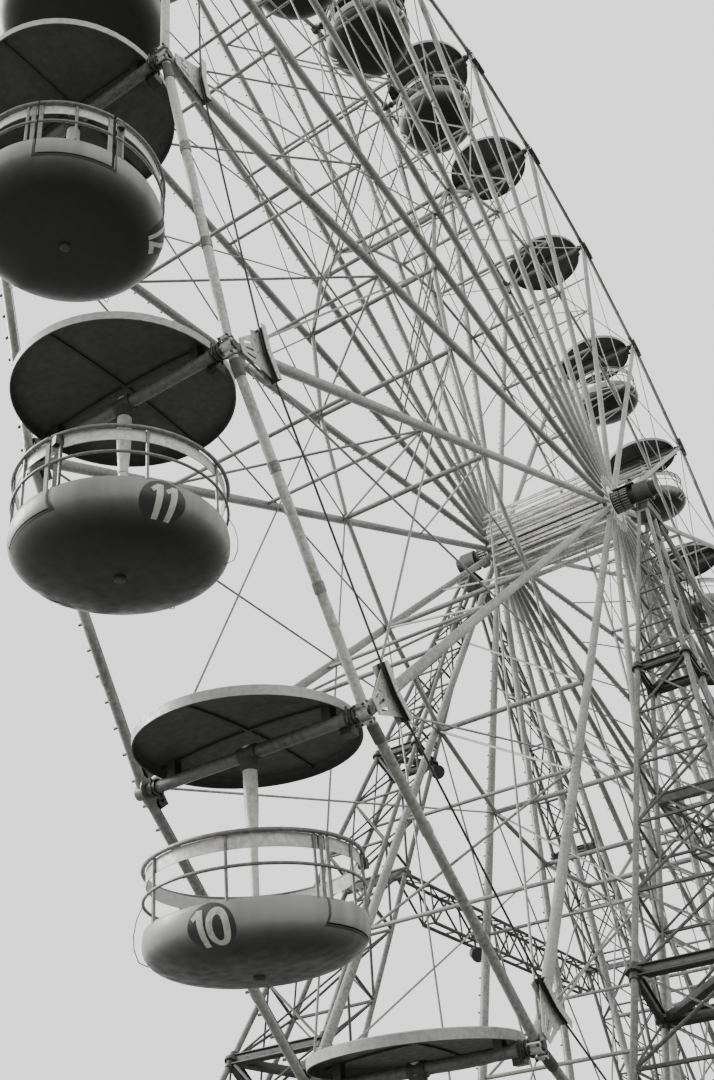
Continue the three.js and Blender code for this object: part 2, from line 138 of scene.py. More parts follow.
def finish_of(
    name, clean, stained, roughness, metallic=0.0,
    stain_mm=900, dust_mm=35, sheen=0.5, streak=0.0, underside_shade=0.0,
):
    """Paint or metal whose colour goes from clean to stained, with brush marks and specks in its gloss."""
    material = bpy.data.materials.new(name)
    material.use_nodes = True
    tree = material.node_tree
    shader = tree.nodes["Principled BSDF"]
    place = add_node(tree, "ShaderNodeTexCoord")
    # Rain draws the stains out downwards, so the pattern is pressed flat in height.
    pressed = {"Vector": place.outputs["Object"], "Scale": (1, 1, 1 - streak)}
    drawn = add_node(tree, "ShaderNodeMapping", pressed).outputs[0]
    broad = add_node(tree, "ShaderNodeTexNoise", {"Vector": drawn, "Scale": 1000 / stain_mm, "Detail": 5.0})
    fine = add_node(tree, "ShaderNodeTexNoise", {"Vector": drawn, "Scale": 1000 / dust_mm, "Detail": 3.0})
    both = add_node(tree, "ShaderNodeMath", {0: broad.outputs[0], 1: fine.outputs[0]}, operation="MULTIPLY")
    share = add_node(tree, "ShaderNodeMapRange", {
        "Value": both.outputs[0], "From Min": 0.17, "From Max": 0.36,
    })
    colour = add_node(tree, "ShaderNodeMix", {"Factor": share.outputs[0]}, data_type="RGBA")
    colour.inputs[6].default_value = linear(clean)
    colour.inputs[7].default_value = linear(stained)
    # Painted shade: faces that look down are darkened towards near black, as the shade under things.
    facing = add_node(tree, "ShaderNodeSeparateXYZ", {"Vector": place.outputs["Normal"]})
    shade_share = add_node(tree, "ShaderNodeMapRange", {
        "Value": facing.outputs["Z"], "From Min": -0.45, "From Max": -0.96, "To Min": 0.0, "To Max": underside_shade,
    })
    shade_mix = add_node(tree, "ShaderNodeMix", {"Factor": shade_share.outputs[0]}, data_type="RGBA")
    tree.links.new(colour.outputs[2], shade_mix.inputs[6])
    shade_mix.inputs[7].default_value = linear(SHADE_BLACK)
    tree.links.new(shade_mix.outputs[2], shader.inputs["Base Color"])
    gloss = add_node(tree, "ShaderNodeMapRange", {
        "Value": fine.outputs[0], "From Min": 0.3, "From Max": 0.7,
        "To Min": roughness - 0.08, "To Max": roughness + 0.12,
    })
    tree.links.new(gloss.outputs[0], shader.inputs["Roughness"])
    relief = add_node(tree, "ShaderNodeBump", {
        "Height": fine.outputs[0], "Strength": 0.12, "Distance": 0.002,
    })
    tree.links.new(relief.outputs[0], shader.inputs["Normal"])
    shader.inputs["Metallic"].default_value = metallic
    shader.inputs["Specular IOR Level"].default_value = sheen
    return material


# %% [markdown]
# The enamels come first, then the dark paints, the steel and the lamp black. The sizes of stains and
# specks are in millimetres.

# %% The finishes
# Brushed alkyd enamel on the wheel's tubes: half matt, weathered by rain.
TUBE_ENAMEL = finish_of("brushed_alkyd_enamel", "#787874", "#555551", 0.42, stain_mm=700, dust_mm=30)
# Some of the right rim's tubes are painted lighter as painted light. The collars' ribs are painted lighter
# as painted highlights on the dark drum, and the rope's shoes have a lighter paint.
PALE_PAINT_AND_LIT_ENAMEL = finish_of("pale_paint_and_painted_light_enamel", "#a3a39e", "#7b7b76", 0.4, stain_mm=500, dust_mm=30)
# The hub's tie rods and flanges are painted near white as painted light.
LIT_ROD_ENAMEL = finish_of("rod_enamel_with_painted_light", "#d8d8d2", "#8f8f8a", 0.4, stain_mm=260, dust_mm=30)
# The towers have the same enamel, older and duller.
TOWER_ENAMEL = finish_of("weathered_tower_enamel", "#62625f", "#424240", 0.5)
# The struts and braces have lost most of their gloss, and look darker than the chords.
BRACE_ENAMEL = finish_of("dull_brace_enamel", "#40403e", "#2b2b29", 0.6)
# Dark bituminous paint on the channel frames and the bridges. The canopies' undersides and ribs are painted
# near black as painted shade.
BITUMEN_PAINT = finish_of("dark_bituminous_paint", "#2c2c2a", "#1d1d1c", 0.55)
BRIDGE_PAINT = finish_of("bridge_bituminous_paint", "#363634", "#262624", 0.58)
CANOPY_SHADE_PAINT = finish_of(
    "canopy_underside_painted_shade", "#393937", "#313130", 0.6, stain_mm=400, dust_mm=60
)
RIB_SHADE_PAINT = finish_of("canopy_rib_painted_shade", "#2a2a29", "#212120", 0.6)
AXLE_ENAMEL = finish_of("shaded_axle_enamel", "#5c5c59", "#42423f", 0.5)
CANOPY_EDGE_ENAMEL = finish_of("canopy_edge_enamel", "#8b8b87", "#747470", 0.45)
# Sprayed enamel on the pressed steel bowls: smooth, with streaks of rain, and darkened below by painted
# shade.
BOWL_ENAMEL = finish_of(
    "sprayed_gloss_enamel", "#7b7b77", "#6e6e6a", 0.4,
    sheen=0.22, stain_mm=600, dust_mm=90, streak=0.85, underside_shade=0.97,
)
RAIL_ENAMEL = finish_of("rail_enamel", "#646461", "#474744", 0.4)
LIGHT_ENAMEL = finish_of("light_cream_enamel", "#b6b6b0", "#8f8f89", 0.4)
DISC_ENAMEL = finish_of("black_disc_enamel", "#161616", "#1f1f1f", 0.5)
LETTER_ENAMEL = finish_of("white_number_enamel", "#a9a9a3", "#83837e", 0.5)
# Cast and machined steel at the hub and clamps is greasy and dark.
OILED_STEEL = finish_of(
    "oiled_cast_steel", "#3f3f3d", "#232322", 0.45, metallic=0.6, stain_mm=120, dust_mm=18
)
# Galvanised wire rope has gone dull.
WIRE_ROPE = finish_of("dull_galvanised_wire", "#3a3a38", "#262625", 0.5, metallic=0.6, dust_mm=12)
LAMP_BLACK = finish_of("lamp_housing_black", "#1d1d1d", "#292929", 0.5)
print("finishes", len(bpy.data.materials))

# %% [markdown]
# ## Making pieces
# A primitive starts each piece. What repeats is modelled once and copied, each copy with its own mesh,
# and the copies of one piece are joined. A finished piece lies in the part's frame with its object at
# the origin, as the CAD nodes do.

# %% Helpers for every piece
def select_only(*objs):
    bpy.ops.object.select_all(action="DESELECT")
    for obj in objs:
        obj.select_set(True)
    bpy.context.view_layer.objects.active = objs[0]


def settle(obj):
    """Puts the object's place into its mesh."""
    select_only(obj)
    bpy.ops.object.transform_apply(location=True, rotation=True, scale=True)
    return obj


def copy_of(pattern, matrix):
    """A copy of a pattern piece with its own mesh, moved by a matrix."""
    made = pattern.copy()
    made.data = pattern.data.copy()
    made.data.transform(matrix)
    bpy.context.scene.collection.objects.link(made)
    return made


def together(name, parts):
    """Joins the parts into one object."""
    select_only(*parts)
    if len(parts) > 1:
        bpy.ops.object.join()
    made = bpy.context.view_layer.objects.active
    made.name = name
    made.data.name = name
    return made


def painted(obj, material):
    obj.data.materials.clear()
    obj.data.materials.append(material)
    return obj


def welded(name, parts, material):
    return painted(together(name, parts), material)


def soft_edges(obj, degrees=35):
    select_only(obj)
    bpy.ops.object.shade_smooth_by_angle(angle=math.radians(degrees))
    return obj


def dressed(obj, body, slot, *nodes):
    """The piece moves with a body, and stands for CAD nodes where it is given any."""
    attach(obj, body)
    if nodes:
        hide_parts(*nodes)
    return obj


def remove(*objs):
    for obj in objs:
        bpy.data.objects.remove(obj)


bpy.ops.object.select_all(action="DESELECT")


# %% [markdown]
# ### Tubes and rods
# Nearly all of the wheel is round tube. Two patterns, a tube with twelve sides and a rod with six, are
# made one metre long and one metre in radius, and each real tube is a stretched and turned copy.

# %% Tube patterns
def round_pattern(name, sides):
    bpy.ops.mesh.primitive_cylinder_add(vertices=sides, radius=1, depth=1)
    made = bpy.context.active_object
    made.name = name
    return soft_edges(made, 50)


TUBE_PATTERN = round_pattern("tube_pattern", 12)
ROD_PATTERN = round_pattern("rod_pattern", 6)
bpy.ops.mesh.primitive_cube_add(size=1)
BAR_PATTERN = bpy.context.active_object
BAR_PATTERN.name = "bar_pattern"
print("patterns", TUBE_PATTERN.name, ROD_PATTERN.name, BAR_PATTERN.name)


def turn_along(start, end, across=None):
    """The turn that takes Z along the line, with Y as near as can be to across."""
    along = (end - start).normalized()
    if across is None:
        return along.to_track_quat("Z", "Y").to_matrix().to_4x4()
    side = Vector(across).cross(along).normalized()
    up = along.cross(side)
    return Matrix((side, up, along)).transposed().to_4x4()


def tube(start, end, radius, pattern=None):
    size = Matrix.Diagonal((radius, radius, (end - start).length, 1))
    move = Matrix.Translation((start + end) / 2)
    return copy_of(pattern or TUBE_PATTERN, move @ turn_along(start, end) @ size)


def rod(start, end, radius=ROD):
    return tube(start, end, radius, ROD_PATTERN)


def flat_bar(start, end, width, thick, across):
    """A rectangular bar, with its thickness along across."""
    size = Matrix.Diagonal((width, thick, (end - start).length, 1))
    move = Matrix.Translation((start + end) / 2)
    return copy_of(BAR_PATTERN, move @ turn_along(start, end, across) @ size)


def disc(centre, axis, radius, thick, sides=32):
    """A round plate with its flat faces square to the axis."""
    bpy.ops.mesh.primitive_cylinder_add(vertices=sides, radius=radius, depth=thick)
    made = bpy.context.active_object
    turn = Vector(axis).to_track_quat("Z", "Y").to_matrix().to_4x4()
    made.matrix_world = Matrix.Translation(centre) @ turn
    return soft_edges(settle(made), 40)


# %% [markdown]
# ### Turned pieces
# A bowl, a canopy or a collar is round about one axis. It starts as a circle, and its rim is extruded
# and scaled from one ring of the profile to the next, as on a spinning lathe.

# %% Turned pieces
def turned(name, profile, sides=48, closed=False):
    """A round skin about Z through pairs of radius and height. A radius of 0 closes a pole."""
    first_radius, first_height = profile[0]
    bpy.ops.mesh.primitive_circle_add(
        vertices=sides, radius=max(first_radius, 0.001), location=(0, 0, first_height)
    )
    made = bpy.context.active_object
    made.name = name
    settle(made)
    bpy.ops.object.mode_set(mode="EDIT")
    bpy.ops.mesh.select_mode(type="EDGE")
    bpy.ops.mesh.select_all(action="SELECT")
    radius, height = max(first_radius, 0.001), first_height
    for next_radius, next_height in profile[1:] + ([profile[0]] if closed else []):
        next_radius = max(next_radius, 0.001)
        bpy.ops.mesh.extrude_edges_move(
            TRANSFORM_OT_translate={"value": (0, 0, next_height - height)}
        )
        ratio = next_radius / radius
        bpy.ops.transform.resize(value=(ratio, ratio, 1), center_override=(0, 0, next_height))
        radius, height = next_radius, next_height
    bpy.ops.mesh.select_all(action="SELECT")
    bpy.ops.mesh.remove_doubles(threshold=0.0005)
    bpy.ops.mesh.normals_make_consistent(inside=False)
    bpy.ops.object.mode_set(mode="OBJECT")
    return made


def loop_of_tube(name, radius, height, tube_radius):
    """A rail bent to a full circle about Z."""
    bpy.ops.mesh.primitive_torus_add(
        major_segments=72, minor_segments=10, major_radius=radius, minor_radius=tube_radius,
        location=(0, 0, height),
    )
    made = bpy.context.active_object
    made.name = name
    return soft_edges(settle(made), 60)


def cut(obj, cutter, operation):
    """Cuts away or keeps what lies inside the cutter."""
    select_only(obj)
    change = obj.modifiers.new("cut", "BOOLEAN")
    change.operation = operation
    change.object = cutter
    change.solver = "EXACT"
    bpy.ops.object.modifier_apply(modifier="cut")
    return obj


def block(low, high):
    low, high = Vector(low), Vector(high)
    return copy_of(BAR_PATTERN, Matrix.Translation((low + high) / 2) @ Matrix.Diagonal((*(high - low), 1)))

# %% [markdown]
# ## The car
# A car hangs from an axle between the two rims. A round canopy, like a shallow pan turned upside down, sits
# on the axle. A post hangs from the axle and carries a pressed steel bowl with a railing and a gate. The
# pieces are modelled about the axle's middle with the gate towards X, and then copied to the wheel.

# %% Canopy pattern
SKIRT = {"low": 0.062, "high": 0.147, "thick": 0.014}
CROWN = 0.054
SHEET = 0.01
RIB = {"half": 0.0125, "below": 0.016, "above": 0.002}


def sheet_height(radius):
    """The height of the sheet's underside at a distance from the middle."""
    return SKIRT["high"] - SHEET + CROWN * (1 - (radius / CANOPY_RADIUS) ** 2)


def rib(start, end):
    """A flat bar under the sheet that follows its dome."""
    made = block(start, end)
    select_only(made)
    bpy.ops.object.mode_set(mode="EDIT")
    bpy.ops.mesh.select_all(action="SELECT")
    bpy.ops.mesh.subdivide(number_cuts=11)
    bpy.ops.object.mode_set(mode="OBJECT")
    for vertex in made.data.vertices:
        vertex.co.z += sheet_height(math.hypot(vertex.co.x, vertex.co.y))
    return painted(made, RIB_SHADE_PAINT)


def canopy_pattern():
    low, high, thick = SKIRT["low"], SKIRT["high"], SKIRT["thick"]
    rings = (0, 0.15, 0.3, 0.45, 0.6, 0.72)
    inside = [(r, sheet_height(r)) for r in (*rings, CANOPY_RADIUS - thick - 0.006)]
    skirt = [
        (CANOPY_RADIUS - thick, high - SHEET - 0.008), (CANOPY_RADIUS - thick, low + 0.003),
        (CANOPY_RADIUS - thick + 0.003, low), (CANOPY_RADIUS - 0.003, low), (CANOPY_RADIUS, low + 0.004),
        (CANOPY_RADIUS, high - 0.01), (CANOPY_RADIUS - 0.012, high),
    ]
    outside = [(r, sheet_height(r) + SHEET) for r in reversed(rings)]
    skin = painted(turned("canopy", inside + skirt + outside, 64), CANOPY_SHADE_PAINT)
    skin.data.materials.append(CANOPY_EDGE_ENAMEL)
    # Faces that look down or inwards take the near black painted shade, and the others the lighter edge
    # enamel.
    for face in skin.data.polygons:
        looks_in = face.normal.xy.dot(face.center.xy.normalized()) < -0.3
        face.material_index = 0 if looks_in or face.normal.z < -0.5 else 1
    soft_edges(skin, 30)
    reach = CANOPY_RADIUS - thick - 0.002
    half, below, above = RIB.values()
    ribs = [rib((-x, -y, -below), (x, y, above)) for x, y in ((reach, half), (half, reach))]
    return together("canopy_pattern", [skin, *ribs])


CANOPY = canopy_pattern()
print("canopy polygons", len(CANOPY.data.polygons))


# %% [markdown]
# The axle is a plain tube. Clamps with bolts hold it near both ends, and a small dark box sits beside
# the right clamp. The post is wide where it leaves the axle and slim further down, with a thin collar
# where the two widths meet.

# %% Axle and post patterns
POST_TOP = 0.05
POST_RADIUS = 0.053
AXLE_END = SIDE_X - 0.045
AXLE_TUBE = 0.0475
BRACKET = {"x": 0.7, "half": 0.035, "y": 0.038, "half_thick": 0.005, "low": -0.01}
CLAMP = {"x": 0.88, "rings": (0.86, 0.9), "ring": 0.064, "bolt": 0.06}


def axle_pattern():
    axle = painted(tube(Vector((-AXLE_END, 0, 0)), Vector((AXLE_END, 0, 0)), AXLE_TUBE), AXLE_ENAMEL)
    # The saddle round the post's top and the brackets up to the sheet wear the canopy's painted shade: near
    # black as the canopy's shadow on them.
    parts = [disc((0, 0, 0), (1, 0, 0), 0.062, 0.15, 24), disc((0, 0, -0.085), (0, 0, 1), 0.066, 0.09, 24)]
    half, half_thick, low = BRACKET["half"], BRACKET["half_thick"], BRACKET["low"]
    top = sheet_height(0.74) + 0.002
    for x in (-BRACKET["x"], BRACKET["x"]):
        for y in (-BRACKET["y"], BRACKET["y"]):
            parts.append(block((x - half, y - half_thick, low), (x + half, y + half_thick, top)))
    saddle = welded("saddle", parts, CANOPY_SHADE_PAINT)
    clamps = []
    reach = CLAMP["bolt"]
    for side in (-1, 1):
        for x in CLAMP["rings"]:
            clamps.append(disc((side * x, 0, 0), (1, 0, 0), CLAMP["ring"], 0.018, 20))
        for y in (-reach, reach):
            bolt = [Vector((side * CLAMP["x"], y, z)) for z in (-reach, reach)]
            clamps.append(rod(*bolt, 0.009))
    clamps.append(block((0.76, 0.03, -0.09), (0.85, 0.13, 0.0)))
    fittings = welded("fittings_pattern", clamps, OILED_STEEL)
    return together("axle_pattern", [axle, saddle, fittings])


def post_pattern(length):
    widths = [
        (0, POST_TOP), (POST_RADIUS, POST_TOP), (POST_RADIUS, -0.34), (0.05, -0.42), (0.036, -0.62),
        (0.04, -0.625), (0.04, -0.645), (0.033, -0.65), (0.027, -1.0), (0.026, length), (0, length),
    ]
    post = turned("post_pattern", widths, 24)
    return soft_edges(painted(post, LIGHT_ENAMEL), 40)


AXLE = axle_pattern()
POST = post_pattern(FLOOR - 0.004)
stub = [(0, POST_TOP), (POST_RADIUS, POST_TOP), (POST_RADIUS, -0.06), (0.03, -0.068), (0, -0.068)]
SHORT_POST = painted(soft_edges(turned("hanger_pattern", stub, 24), 40), LIGHT_ENAMEL)
print("axle polygons", len(AXLE.data.polygons), "post polygons", len(POST.data.polygons))


# %% [markdown]
# The bowl is pressed from sheet steel. Its side is nearly upright at the lip and its bottom is a wide
# soft curve, so it looks like a deep dish. The outer curve is a flattened oval. A rolled lip, a flat
# floor and a drain boss under the middle finish it.

# %% Bowl pattern
BOWL_CURVE = {"top": -1.284, "radius": 0.745, "depth": 0.245, "fullness": 0.79}


def bowl_profile():
    top, radius, depth, fullness = BOWL_CURVE.values()
    outer = [(LIP[0] - 0.004, LIP[1]), (LIP[0] + 0.002, LIP[1] - 0.006), (0.742, -1.25)]
    for degrees in range(0, 86, 6):
        a = math.radians(degrees)
        outer.append((radius * math.cos(a) ** fullness, top - depth * math.sin(a) ** fullness))
    outer.append((0, top - depth))
    inner = [(LIP[0] - 0.03, LIP[1]), (LIP[0] - 0.035, LIP[1] - 0.012), (0.69, -1.3)]
    inner += [(0.62, FLOOR), (0, FLOOR)]
    return outer[::-1] + inner


def bowl_pattern():
    bowl = turned("bowl_pattern", bowl_profile(), 72)
    return soft_edges(painted(bowl, BOWL_ENAMEL), 40)


WHOLE_BOWL = bowl_pattern()
drain = [(0, -1.552), (0.03, -1.552), (0.038, -1.546), (0.042, -1.525), (0.042, -1.512), (0, -1.512)]
BOSS = painted(soft_edges(turned("boss", drain, 24), 30), LAMP_BLACK)
print("bowl polygons", len(WHOLE_BOWL.data.polygons))

# %% [markdown]
# The gate is a piece of the bowl's wall with its own part of the railing. The opening is cut with a
# block, and the same bowl cut with a slightly narrower block gives the gate, so a thin seam stays
# between them, just as on the real car. A black rubber seal lines the opening's edge.

# %% Bowl with its opening, and the gate's skin
SEAM = {"hinge": 0.008, "latch": 0.024, "sill": 0.007}
SEAL = 0.015
SILL = -1.366


def gate_cutter(hinge=0.0, latch=0.0, sill=0.0, seal=0.0):
    """A block round the gate's part of the wall, wider than the gate by a gap at each edge."""
    low = (0.3, -GATE_HALF - hinge - seal, SILL - sill - seal)
    return block(low, (0.9, GATE_HALF + latch + seal, -0.5))


gate_block = gate_cutter()
opening_block = gate_cutter(**SEAM)
seal_block = gate_cutter(**SEAM, seal=SEAL)
GATE_SKIN = cut(copy_of(WHOLE_BOWL, Matrix()), gate_block, "INTERSECT")
OPEN_BOWL = cut(copy_of(WHOLE_BOWL, Matrix()), seal_block, "DIFFERENCE")
seal = cut(cut(copy_of(WHOLE_BOWL, Matrix()), seal_block, "INTERSECT"), opening_block, "DIFFERENCE")
painted(seal, LAMP_BLACK)
remove(seal_block)
pad_low, pad_high = (0.57, -GATE_HALF - 0.008, SILL - 0.02), (0.612, -GATE_HALF + 0.016, SILL - 0.0003)
hinge_pad = painted(block(pad_low, pad_high), BOWL_ENAMEL)
OPEN_BOWL = together("open_bowl_pattern", [OPEN_BOWL, seal, hinge_pad, copy_of(BOSS, Matrix())])
soft_edges(OPEN_BOWL, 40)
soft_edges(GATE_SKIN, 40)
print("open bowl", len(OPEN_BOWL.data.polygons), "gate skin", len(GATE_SKIN.data.polygons))

# %% [markdown]
# The railing has a round top rail, a thinner rail half way and upright posts. A light band of sheet
# steel runs inside the top rail as a backrest. The gate takes its own piece of each.

# %% Railing patterns
TOP_RAIL = {"radius": 0.742, "height": -0.813, "tube": 0.015}
MID_RAIL = {"radius": 0.738, "height": -1.023, "tube": 0.011}
BAND = {"radius": 0.722, "top": -0.822, "bottom": -0.915, "thick": 0.006}
UPRIGHT_CIRCLE = 0.731
UPRIGHT_ANGLES = (28, 73, 120, 167)


def railing(gate_side):
    """The rails and the band, either the gate's piece of them or the rest."""
    keeper, operation = (gate_block, "INTERSECT") if gate_side else (opening_block, "DIFFERENCE")
    rails = []
    for rail in (TOP_RAIL, MID_RAIL):
        loop = loop_of_tube("rail", rail["radius"], rail["height"], rail["tube"])
        rails.append(cut(loop, keeper, operation))
    metal = welded("rails", rails, RAIL_ENAMEL)
    outer, top, bottom, thick = BAND.values()
    edge = [(outer, bottom), (outer, top), (outer - thick, top), (outer - thick, bottom)]
    sheet = cut(turned("band", edge, 72, closed=True), keeper, operation)
    sheet = painted(soft_edges(sheet, 40), LIGHT_ENAMEL)
    return together("railing_pattern", [metal, sheet])


def upright(angle, low=LIP[1] - 0.01):
    a = math.radians(angle)
    place = Vector((UPRIGHT_CIRCLE * math.cos(a), UPRIGHT_CIRCLE * math.sin(a), 0))
    return rod(place + Vector((0, 0, low)), place + Vector((0, 0, TOP_RAIL["height"])), MID_RAIL["tube"])


def flat_post(y, low, high=TOP_RAIL["height"], width=0.03):
    """A flat upright of the gate frame, square to the wall, at a distance from the gate's middle."""
    x = math.sqrt(UPRIGHT_CIRCLE**2 - y**2)
    return flat_bar(Vector((x, y, low)), Vector((x, y, high)), width, 0.014, (x, y, 0))


def side_wire(angle):
    """A thin wire that hangs in a loop from the middle rail to the bowl's underside."""
    a = math.radians(angle)
    course = [(0.745, -1.02), (0.782, -1.1), (0.8, -1.2), (0.795, -1.29), (0.765, -1.37), (0.7, -1.405)]
    points = [Vector((r * math.cos(a), r * math.sin(a), z)) for r, z in course]
    return [rod(here, following, 0.0035) for here, following in zip(points, points[1:])]


FIXED_RAILING = together("fixed_railing_pattern", [
    railing(gate_side=False),
    *[painted(upright(side * angle), RAIL_ENAMEL) for angle in UPRIGHT_ANGLES for side in (-1, 1)],
    painted(flat_post(-GATE_HALF - 0.032, LIP[1] - 0.06), RAIL_ENAMEL),
    painted(flat_post(GATE_HALF + 0.06, LIP[1] - 0.11, -0.8, 0.055), OILED_STEEL),
    painted(block((0.628, GATE_HALF + 0.035, -0.9), (0.69, GATE_HALF + 0.085, -0.835)), OILED_STEEL),
    *[painted(piece, LAMP_BLACK) for angle in (-150, 150) for piece in side_wire(angle)],
])
GATE = together("gate_pattern", [
    GATE_SKIN,
    railing(gate_side=True),
    *[painted(flat_post(y, LIP[1] - 0.09), RAIL_ENAMEL) for y in (-GATE_HALF + 0.018, GATE_HALF - 0.018)],
    painted(upright(0, low=LIP[1]), RAIL_ENAMEL),
])
print("railing polygons", len(FIXED_RAILING.data.polygons), "gate polygons", len(GATE.data.polygons))

# %% [markdown]
# ### Number discs
# Each bowl wears a black disc with its number on both sides, a little less than a quarter turn from the
# gate. The disc and the digits start flat. Each point is then laid on the bowl by its distance along the
# bowl's curve, as a thin painted plate is bent round it, so circles stay round on the skin.

# %% Number discs
DISC_RADIUS = 0.158
DISC_DOWN = 0.166
DISC_TURN = 81.5
DISC_LIFT, DIGIT_LIFT = 0.0025, 0.005
DIGIT = {"size": 0.335, "swell": 0.006, "gap": 0.014, "square": 0.022, "widest": 1.56}


def bowl_line(distance):
    """Radius, height and outward normal of the bowl's skin at a distance down from the lip."""
    profile = bowl_profile()
    lip = profile.index((LIP[0] - 0.004, LIP[1]))
    points = [Vector(pair) for pair in profile[lip::-1]]
    for here, following in zip(points, points[1:]):
        length = (following - here).length
        if distance <= length:
            way = (following - here) / length
            return here + way * distance, Vector((-way.y, way.x))
        distance -= length
    return points[-1], Vector((0, -1))


def lay_on_bowl(obj, lift):
    """Bends a flat piece in the XY plane round the bowl, with its middle towards X."""
    for vertex in obj.data.vertices:
        place, normal = bowl_line(DISC_DOWN - vertex.co.y)
        place = place + normal * lift
        angle = vertex.co.x / LIP[0]
        vertex.co = (place.x * math.cos(angle), place.x * math.sin(angle), place.y)
    return obj


def disc_pattern():
    bpy.ops.mesh.primitive_grid_add(x_subdivisions=20, y_subdivisions=20, size=2 * DISC_RADIUS)
    made = bpy.context.active_object
    for vertex in made.data.vertices:
        x, y = vertex.co.x / DISC_RADIUS, vertex.co.y / DISC_RADIUS
        vertex.co.x = DISC_RADIUS * x * math.sqrt(1 - y * y / 2)
        vertex.co.y = DISC_RADIUS * y * math.sqrt(1 - x * x / 2)
    return painted(soft_edges(lay_on_bowl(made, DISC_LIFT), 60), DISC_ENAMEL)


def numeral(digit):
    """One bold painted digit. A one is a plain stroke with a short flag, and has no foot."""
    bpy.ops.object.text_add()
    words = bpy.context.active_object
    words.data.body = "I" if digit == "1" else digit
    words.data.size = DIGIT["size"]
    words.data.offset = DIGIT["swell"]
    bpy.ops.object.convert(target="MESH")
    made = bpy.context.active_object
    if digit != "1":
        return made
    left = min(vertex.co.x for vertex in made.data.vertices)
    top = max(vertex.co.y for vertex in made.data.vertices)
    place, slope = (left - 0.006, top - 0.031, 0), math.radians(38)
    bpy.ops.mesh.primitive_plane_add(size=1, location=place, rotation=(0, 0, slope))
    flag = bpy.context.active_object
    flag.scale = (0.06, 0.03, 1)
    return together("one", [made, settle(flag)])


def digits(number):
    """The number as a flat mesh, cut into small squares so that it can bend, and laid on the bowl."""
    made, right = [], 0.0
    for digit in str(number):
        figure = numeral(digit)
        across = [vertex.co.x for vertex in figure.data.vertices]
        figure.location.x = right - min(across)
        right += max(across) - min(across) + DIGIT["gap"]
        made.append(settle(figure))
    label = together("label", made)
    corners = [vertex.co for vertex in label.data.vertices]
    low = Vector((min(c.x for c in corners), min(c.y for c in corners), 0))
    high = Vector((max(c.x for c in corners), max(c.y for c in corners), 0))
    narrow = min(1, DIGIT["widest"] * DISC_RADIUS / (high.x - low.x))
    label.data.transform(Matrix.Diagonal((narrow, 1, 1, 1)) @ Matrix.Translation(-(low + high) / 2))
    bpy.ops.object.mode_set(mode="EDIT")
    for axis in ((1, 0, 0), (0, 1, 0)):
        for step in range(-6, 7):
            bpy.ops.mesh.select_all(action="SELECT")
            bpy.ops.mesh.bisect(plane_co=Vector(axis) * step * DIGIT["square"], plane_no=axis)
    bpy.ops.object.mode_set(mode="OBJECT")
    return painted(lay_on_bowl(label, DIGIT_LIFT), LETTER_ENAMEL)


NUMBER_DISC = disc_pattern()
print("disc polygons", len(NUMBER_DISC.data.polygons))


# %% [markdown]
# ### All cars on the wheel
# Every car takes copies of the patterns. A bowl turns about its post, so each gate looks its own way.
# Two cars have lost their bowls and show only the canopy on its axle. Three gates swing in the model.

# %% Place the cars
def place_car(number):
    name = f"{number:02d}"
    body = f"car_{name}"
    here = Matrix.Translation(car_pivot(number))
    turn = here @ Matrix.Rotation(math.radians(GATE_TURN.get(number, FRONT)), 4, "Z")

    def put(kind, pattern, matrix, mover=body, *nodes):
        made = copy_of(pattern, matrix)
        made.name = f"{kind}_{name}"
        dressed(made, mover, "car_paint", *nodes)

    has_bowl = number not in CARS_WITHOUT_BOWL
    post = POST if has_bowl else SHORT_POST
    dressed(together(f"hanger_{name}", [copy_of(AXLE, here), copy_of(post, here)]), body, "car_paint")
    put("canopy", CANOPY, here, body, body)
    if not has_bowl:
        return
    put("bowl", OPEN_BOWL, turn)
    put("railing", FIXED_RAILING, turn)
    swings = [f"gate_{name}"] * 2 if number in GATE_TURN else []
    put("gate_dress", GATE, turn, *swings)
    label = digits(number)
    marks = []
    for side in (-1, 1):
        turned_mark = turn @ Matrix.Rotation(math.radians(side * DISC_TURN), 4, "Z")
        marks += [copy_of(NUMBER_DISC, turned_mark), copy_of(label, turned_mark)]
    remove(label)
    dressed(together(f"number_{name}", marks), body, "car_paint")


for car in range(1, CAR_COUNT + 1):
    place_car(car)
remove(CANOPY, AXLE, POST, SHORT_POST, BOSS, OPEN_BOWL, FIXED_RAILING, GATE, NUMBER_DISC)
remove(gate_block, opening_block, WHOLE_BOWL)
print("cars placed", CAR_COUNT)

# %% [markdown]
# ## The wheel
# Each side of the wheel is a rim of straight tubes with a corner at every car, spokes of heavier tube
# from a flange at the hub, and a ring half way out. Thin rods cross between the ring and the rim.

# %% Rims, spokes and rods
HUB = Vector((0, 0, HUB_HEIGHT))
LIT_RIM_TUBES = range(10, 17)
RIM_SLEEVE = {"half": 0.04, "extra": 0.006, "shares": (0.33, 0.66)}


